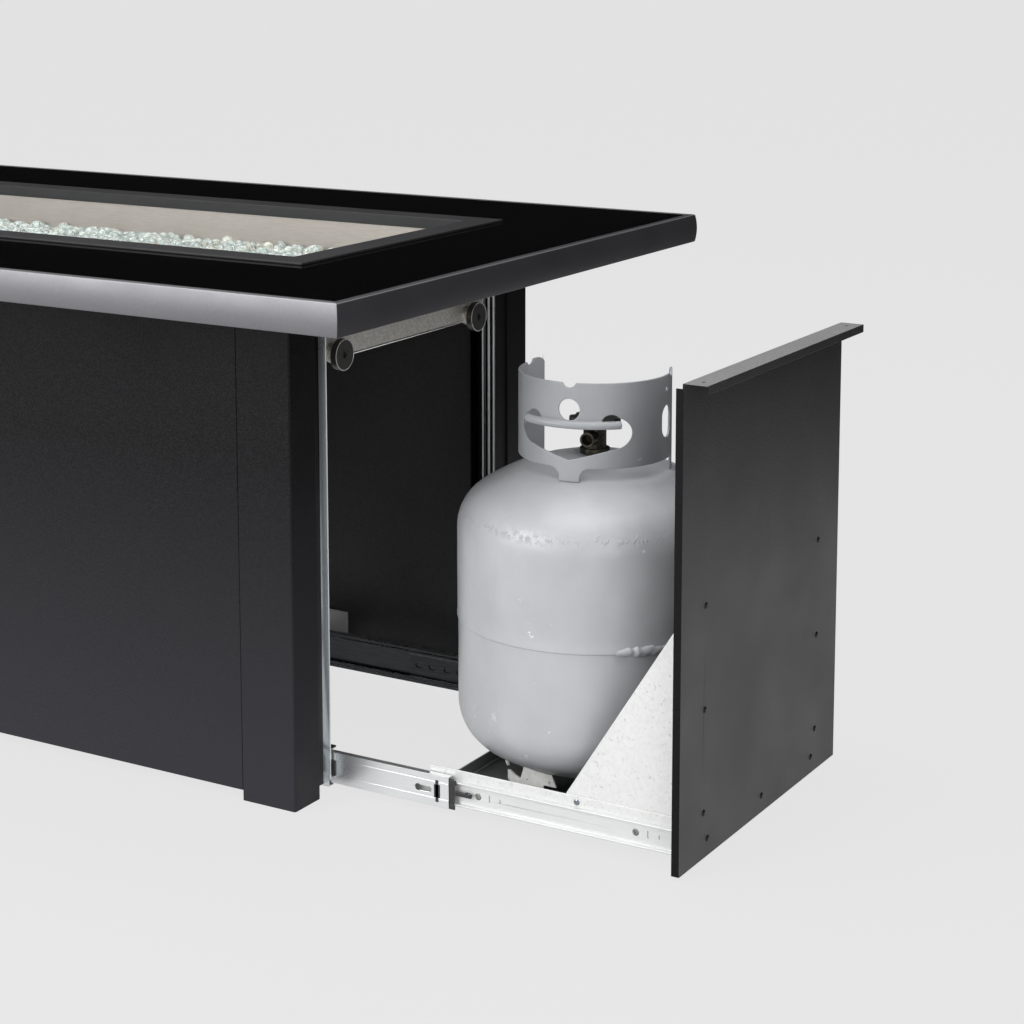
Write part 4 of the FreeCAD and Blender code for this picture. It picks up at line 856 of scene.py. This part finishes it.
def addSlideRidges(name, side):
    low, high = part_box("middle_rail_" + name)
    ridge, level = slides["ridge"], midOf(low, high)
    skin = about(max(abs(low[1]), abs(high[1])), ridge["proud"])
    parts = [sideBlock(side, (low[0], high[0]), skin, about(level + way * ridge["level"], ridge["half"]),
                       ridge["proud"] / 2) for way in (-1, 1)]
    dressParts("slideRidges", name, parts, "bright_zinc", bodyOf["middle_rail_" + name])


def addLever(name, side):
    # release lever of the inner rail, on its pivot
    lever, rounding = slides["lever"], slides["rounding"]
    low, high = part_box("middle_rail_" + name)
    web = min(abs(corner[1]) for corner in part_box("inner_rail_" + name))
    up = about(midOf(low, high), lever["half"])
    pivot = (web + rounding, lever["reach"][1] - rounding)
    parts = [sideBlock(side, past(high[0], lever["fromEnd"]), lever["reach"], up, rounding),
             sideBlock(side, past(high[0], lever["pivot"]), pivot, up, rounding)]
    dressParts("slideLever", name, parts, "black_plastic", "drawer")


def addBumper(name, side):
    # stop at the end of the outer rail, with a tongue above it
    bumper, tongue, rounding = slides["bumper"], slides["tongue"], slides["rounding"]
    level = midOf(*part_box("middle_rail_" + name))
    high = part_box("outer_rail_" + name)[1]
    end, top = high[0], high[2]
    parts = [sideBlock(side, past(end, bumper["fromEnd"]), bumper["reach"], about(level, bumper["half"]),
                       rounding),
             sideBlock(side, past(end, tongue["fromEnd"]), tongue["reach"], (top, top + tongue["thick"]),
                       rounding)]
    dressParts("slideBumper", name, parts, "black_plastic", "table")


def addRidges(name, side):
    # rolled ridges up the inner face of an upright, above the slides, in a brighter zinc as a painted
    # highlight
    low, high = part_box("upright_" + name)
    face = min(abs(low[1]), abs(high[1]))
    skin = (face - ridges["proud"], face + ridges["sunk"])
    up = (low[2] + ridges["start"], high[2])
    parts = [sideBlock(side, past(low[0], along), skin, up, ridges["rounding"]) for along in ridges["along"]]
    dress(joinPieces("uprightRidges" + name.capitalize(), parts), ridgePaintedHighlightZinc, "galvanised_sheet", "table")


def addHem():
    # folded lower edge of the catch bar, in a brighter nickel as a painted highlight where it catches the
    # light
    low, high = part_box("catch_bar")
    piece = block((high[0] - hem["thick"], low[1], low[2]),
                  (high[0] + hem["proud"], high[1], low[2] + hem["thick"]), hem["rounding"])
    piece.name = "catchBarHem"
    bpy.ops.object.shade_smooth_by_angle(angle=math.radians(hem["corner"]))
    finish = brushed("hemPaintedHighlight", *hem["tints"], hem["roughness"], acrossDrawer, hem["metallic"])
    dress(piece, finish, "nickel", "table")


for name, side in sides.items():
    for addPart in (addLatch, addSlideRidges, addLever, addBumper, addRidges):
        addPart(name, side)
addHem()
print("slide parts added")


# gas cylinder

cylinder = {"knuckle": 0.055, "lower": 0.0009, "segments": 144, "wallSteps": 6, "arcSteps": 10,
            "pole": 0.0005, "beadRise": 0.0004, "beadHalf": 0.003, "dent": 0.0018, "dentSize": 0.09,
            "corner": 40}
weld = {"radius": 0.006, "sink": 0.0022, "start": -55, "end": -26, "steps": 48, "tip": 0.3, "taper": 0.5,
        "lumps": 0.0045, "lumpSize": 0.006}


def cylinderProfile(radius, reach):
    # radius and height above the seam: wall, knuckle and crown, each tangent to the next
    knuckle, steps, rows = cylinder["knuckle"], cylinder["arcSteps"], cylinder["wallSteps"]
    inner = radius - knuckle
    straight = inner
    rise = reach - straight
    crown = (inner ** 2 + rise ** 2 - knuckle ** 2) / (2 * (rise - knuckle))
    lean = math.asin(inner / (crown - knuckle))
    crownAt = straight + rise - crown
    profile = [(radius, straight * row / rows) for row in range(1, rows)]
    for step in range(steps + 1):
        turn = (math.pi / 2 - lean) * step / steps
        profile.append((inner + knuckle * math.cos(turn), straight + knuckle * math.sin(turn)))
    for step in range(1, steps):
        turn = lean * (1 - step / steps)
        profile.append((crown * math.sin(turn), crownAt + crown * math.cos(turn)))
    profile.append((cylinder["pole"], reach))
    return profile


def addCylinder():
    low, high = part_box("tank_upper")
    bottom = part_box("tank_lower")[0][2]
    axis = [midOf(low, high, way) for way in (0, 1)]
    radius = (high[0] - low[0]) / 2
    seam = low[2]
    rise, half = cylinder["beadRise"], cylinder["beadHalf"]
    lower = [(wide - cylinder["lower"], seam - up) for wide, up in cylinderProfile(radius, seam - bottom)]
    lower[-1] = (cylinder["pole"], bottom)
    bead = [(radius - cylinder["lower"], seam - half), (radius + rise, seam - half / 2),
            (radius + rise, seam + half / 2), (radius, seam + half)]
    upper = [(wide, seam + up) for wide, up in cylinderProfile(radius, high[2] - seam)]
    piece = drawRings("cylinderShell", axis, lower[::-1] + bead + upper, cylinder["segments"])
    roughen(piece, cylinder["dent"], cylinder["dentSize"])
    activate(piece)
    bpy.ops.object.shade_smooth_by_angle(angle=math.radians(cylinder["corner"]))
    dress(piece, finishes["cylinder_paint"], "cylinder_paint", "drawer", "tank_upper", "tank_lower")


def addWeld():
    # lumpy bead where the weld round the seam was closed
    low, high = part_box("tank_upper")
    middle = [midOf(low, high, way) for way in (0, 1)]
    reach = (high[0] - low[0]) / 2 - weld["sink"]
    curve = bpy.data.curves.new("weldBead", "CURVE")
    curve.dimensions = "3D"
    curve.bevel_depth = weld["radius"]
    curve.use_fill_caps = True
    path = curve.splines.new("POLY")
    path.points.add(weld["steps"])
    for step, point in enumerate(path.points):
        share = step / weld["steps"]
        turn = math.radians(weld["start"] + share * (weld["end"] - weld["start"]))
        point.co = (middle[0] + reach * math.cos(turn), middle[1] + reach * math.sin(turn), low[2], 1)
        point.radius = max(weld["tip"], math.sin(math.pi * share) ** weld["taper"])
    piece = bpy.data.objects.new("weldBead", curve)
    scene.collection.objects.link(piece)
    activate(piece)
    bpy.ops.object.convert(target="MESH")
    piece = bpy.context.object
    roughen(piece, weld["lumps"], weld["lumpSize"])
    activate(piece)
    bpy.ops.object.shade_smooth()
    dress(piece, finishes["cylinder_paint"], "cylinder_paint", "drawer")


addCylinder()
addWeld()
print("cylinder drawn")


# fire glass

beads = {"across": 0.0152, "flat": 0.78, "detail": 2, "spacing": 0.0118, "stray": 0.0045, "margin": 0.008,
         "seed": 11, "coreShare": 0.9, "sink": 0.007, "lift": 0.0015, "wobble": 0.0008, "tilt": 0.9,
         "sizes": (0.74, 1.18)}
beadGlass = {"roughness": 0.08, "shade": (75, 1.0), "stops": (0.32, 0.68), "frost": (260, 2.0),
             "sheen": (0.02, 0.14), "bending": 1.5}


def glassBead(name, tints, seeThrough):
    finish, tree, shader = newFinish(name, tints[0], beadGlass["roughness"])
    vector = place(tree)
    shade = noise(tree, vector, *beadGlass["shade"])
    frost = noise(tree, vector, *beadGlass["frost"])
    coatWith(tree, shader, ramp(tree, shade, beadGlass["stops"], tints),
             spread(tree, frost, *beadGlass["sheen"]))
    shader.inputs["Transmission Weight"].default_value = seeThrough
    shader.inputs["IOR"].default_value = beadGlass["bending"]
    return finish


beadFinishes = {
    "clearBeads": glassBead("clearGlass", ((0.82, 0.88, 0.86), (0.94, 0.96, 0.95)), seeThrough=0.8),
    "aquaBeads": glassBead("aquaGlass", ((0.72, 0.82, 0.79), (0.87, 0.92, 0.9)), seeThrough=0.75),
    "creamBeads": glassBead("creamGlass", ((0.84, 0.83, 0.74), (0.93, 0.92, 0.86)), seeThrough=0.75),
}
beadShares = (5, 3, 2)


def modelBead():
    deselect()
    bpy.ops.mesh.primitive_ico_sphere_add(subdivisions=beads["detail"], radius=beads["across"] / 2,
                                          location=(0, 0, 0))
    bead = bpy.context.object
    startEditing()
    bpy.ops.transform.resize(value=(1, 1, beads["flat"]), center_override=(0, 0, 0))
    bpy.ops.transform.vertex_random(offset=beads["wobble"], seed=beads["seed"])
    bpy.ops.mesh.normals_make_consistent(inside=False)
    stopEditing()
    bpy.ops.object.shade_smooth()
    return bead


def layCore(low):
    core = copyNode("fire_glass", "glassBedCore")
    startEditing()
    bpy.ops.transform.resize(value=(1, 1, beads["coreShare"]), center_override=(0, 0, low[2]))
    stopEditing()
    dress(core, finishes["fire_glass"], "fire_glass", "table", "fire_glass")


def pourBeads():
    # beads strewn over the bed, each lying where the solid's surface is
    mesh = nodes["fire_glass"].data
    bed = BVHTree.FromPolygons([point.co for point in mesh.vertices],
                               [face.vertices for face in mesh.polygons])
    low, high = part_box("fire_glass")
    layCore(low)
    chance = random.Random(beads["seed"])
    bead = modelBead()
    heaps = {name: [] for name in beadFinishes}
    margin, spacing = beads["margin"], beads["spacing"]
    counts = [int((high[way] - low[way] - 2 * margin) / spacing) + 1 for way in (0, 1)]
    for step in range(counts[0] * counts[1]):
        spot = []
        for way, count in enumerate(divmod(step, counts[1])):
            at = low[way] + margin + count * spacing + chance.uniform(-1, 1) * beads["stray"]
            spot.append(min(max(at, low[way] + margin), high[way] - margin))
        surface = bed.ray_cast(Vector((*spot, high[2] + spacing)), Vector((0, 0, -1)))[0].z
        kind = chance.choices(list(heaps), beadShares)[0]
        one = bpy.data.objects.new(kind, bead.data.copy())
        scene.collection.objects.link(one)
        tilt = [chance.uniform(-beads["tilt"], beads["tilt"]) for turn in range(2)]
        one.rotation_euler = (*tilt, chance.uniform(0, math.tau))
        one.scale = [chance.uniform(*beads["sizes"]) for way in range(3)]
        one.location = (*spot, surface + chance.uniform(-beads["sink"], beads["lift"]))
        heaps[kind].append(one)
    bpy.data.objects.remove(bead)
    for kind, heap in heaps.items():
        dress(joinPieces(kind, heap), beadFinishes[kind], "fire_glass", "table")
    return counts[0] * counts[1]


print("beads poured:", pourBeads())


# studio

studio = {
    "cameraAt": (1.8640, -2.2158, 0.9759),
    "cameraYaw": 30.46,
    "cameraPitch": 8.32,
    "lens": 80.52,
    "sensor": 36,
    "frameDrop": -0.25,
    "farthest": 200,
    "backdrop": (0.78, 0.78, 0.78),
    "ambient": 0.55,
    "floorGlow": 0.95,
    "floorSize": 80,
}
flags = {
    "backFlag": {"at": (-0.5, 1.4, 1.0), "size": (9.0, 2.0), "turn": 0, "shade": 0.006},
    "endFlag": {"at": (3.0, 2.4, 0.9), "size": (5.2, 1.8), "turn": 90, "shade": 0.02},
}
lamps = {
    "keyBox": {"at": (-1.6, -3.6, 1.9), "aim": (0.1, 0, 0.35), "size": (2.6, 2.6), "watts": 150},
    "topBox": {"at": (0.2, -0.6, 3.4), "aim": (0.2, 0, 0.4), "size": (3.2, 2.4), "watts": 85},
    "fillBox": {"at": (3.6, -2.4, 1.6), "aim": (0.5, 0, 0.35), "size": (1.8, 2.2), "watts": 45},
}


def addCamera():
    data = bpy.data.cameras.new("studioCamera")
    camera = bpy.data.objects.new("studioCamera", data)
    scene.collection.objects.link(camera)
    data.sensor_width = studio["sensor"]
    data.lens = studio["lens"]
    data.shift_y = studio["frameDrop"]
    data.clip_end = studio["farthest"]
    camera.location = studio["cameraAt"]
    camera.rotation_euler = (math.radians(90 - studio["cameraPitch"]), 0, math.radians(studio["cameraYaw"]))
    scene.camera = camera


def mixShaders(tree, share, first, second, output):
    mix = tree.nodes.new("ShaderNodeMixShader")
    tree.links.new(share, mix.inputs["Fac"])
    tree.links.new(first.outputs[0], mix.inputs[1])
    tree.links.new(second.outputs[0], mix.inputs[2])
    tree.links.new(mix.outputs[0], output.inputs["Surface"])


def emptyFinish(piece):
    finish = bpy.data.materials.new(piece.name)
    finish.use_nodes = True
    finish.node_tree.nodes.clear()
    piece.data.materials.append(finish)
    return finish.node_tree, finish.node_tree.nodes.new("ShaderNodeOutputMaterial")


def plainShader(tree, kind, colour):
    shader = tree.nodes.new(kind)
    shader.inputs["Color"].default_value = (*colour, 1)
    return shader


def seenDirectly(tree):
    # camera, mirror and see-through rays all find the plain backdrop
    path = tree.nodes.new("ShaderNodeLightPath")
    total = path.outputs["Is Camera Ray"]
    for name in ("Is Glossy Ray", "Is Transmission Ray"):
        total = combine(tree, "MAXIMUM", total, path.outputs[name])
    return total


def addWorld():
    world = bpy.data.worlds.new("studioWorld")
    scene.world = world
    world.use_nodes = True
    tree = world.node_tree
    light = tree.nodes["Background"]
    light.inputs["Color"].default_value = (1, 1, 1, 1)
    light.inputs["Strength"].default_value = studio["ambient"]
    backdrop = plainShader(tree, "ShaderNodeBackground", studio["backdrop"])
    mixShaders(tree, seenDirectly(tree), light, backdrop, tree.nodes["World Output"])


def addFloor():
    bpy.ops.mesh.primitive_plane_add(size=studio["floorSize"], location=(0, 0, 0))
    floor = bpy.context.object
    floor.name = "studioFloor"
    tree, output = emptyFinish(floor)
    paper = plainShader(tree, "ShaderNodeBsdfDiffuse", studio["backdrop"])
    glow = plainShader(tree, "ShaderNodeEmission", studio["backdrop"])
    share = spread(tree, seenDirectly(tree), 0.0, studio["floorGlow"], 0.0, 1.0)
    mixShaders(tree, share, paper, glow, output)


def addFlags():
    # dark cloths behind the table and past its end that only mirror rays find
    for name, cloth in flags.items():
        bpy.ops.mesh.primitive_plane_add(size=1, location=cloth["at"],
                                         rotation=(math.pi / 2, 0, math.radians(cloth["turn"])))
        flag = bpy.context.object
        flag.name = name
        flag.scale = (*cloth["size"], 1)
        tree, output = emptyFinish(flag)
        path = tree.nodes.new("ShaderNodeLightPath")
        clear = tree.nodes.new("ShaderNodeBsdfTransparent")
        dark = plainShader(tree, "ShaderNodeEmission", [cloth["shade"]] * 3)
        mixShaders(tree, path.outputs["Is Glossy Ray"], clear, dark, output)


def addLamps():
    # soft boxes that the glass top doesn't mirror
    unlit = bpy.data.collections.new("mirrorFree")
    unlit.objects.link(bpy.data.objects["glassTopSoft"])
    for name, box in lamps.items():
        data = bpy.data.lights.new(name, "AREA")
        data.shape = "RECTANGLE"
        data.size, data.size_y = box["size"]
        data.energy = box["watts"]
        lamp = bpy.data.objects.new(name, data)
        scene.collection.objects.link(lamp)
        lamp.location = box["at"]
        way = [aim - at for aim, at in zip(box["aim"], box["at"])]
        flat = math.hypot(way[0], way[1])
        lamp.rotation_euler = (math.atan2(flat, -way[2]), 0, math.atan2(-way[0], way[1]))
        lamp.visible_camera = False
        lamp.light_linking.receiver_collection = unlit
    unlit.collection_objects[0].light_linking.link_state = "EXCLUDE"


scene.view_settings.view_transform = "Standard"
addCamera()
addWorld()
addFloor()
addFlags()
addLamps()
print("studio set:", len(lamps), "lamps")
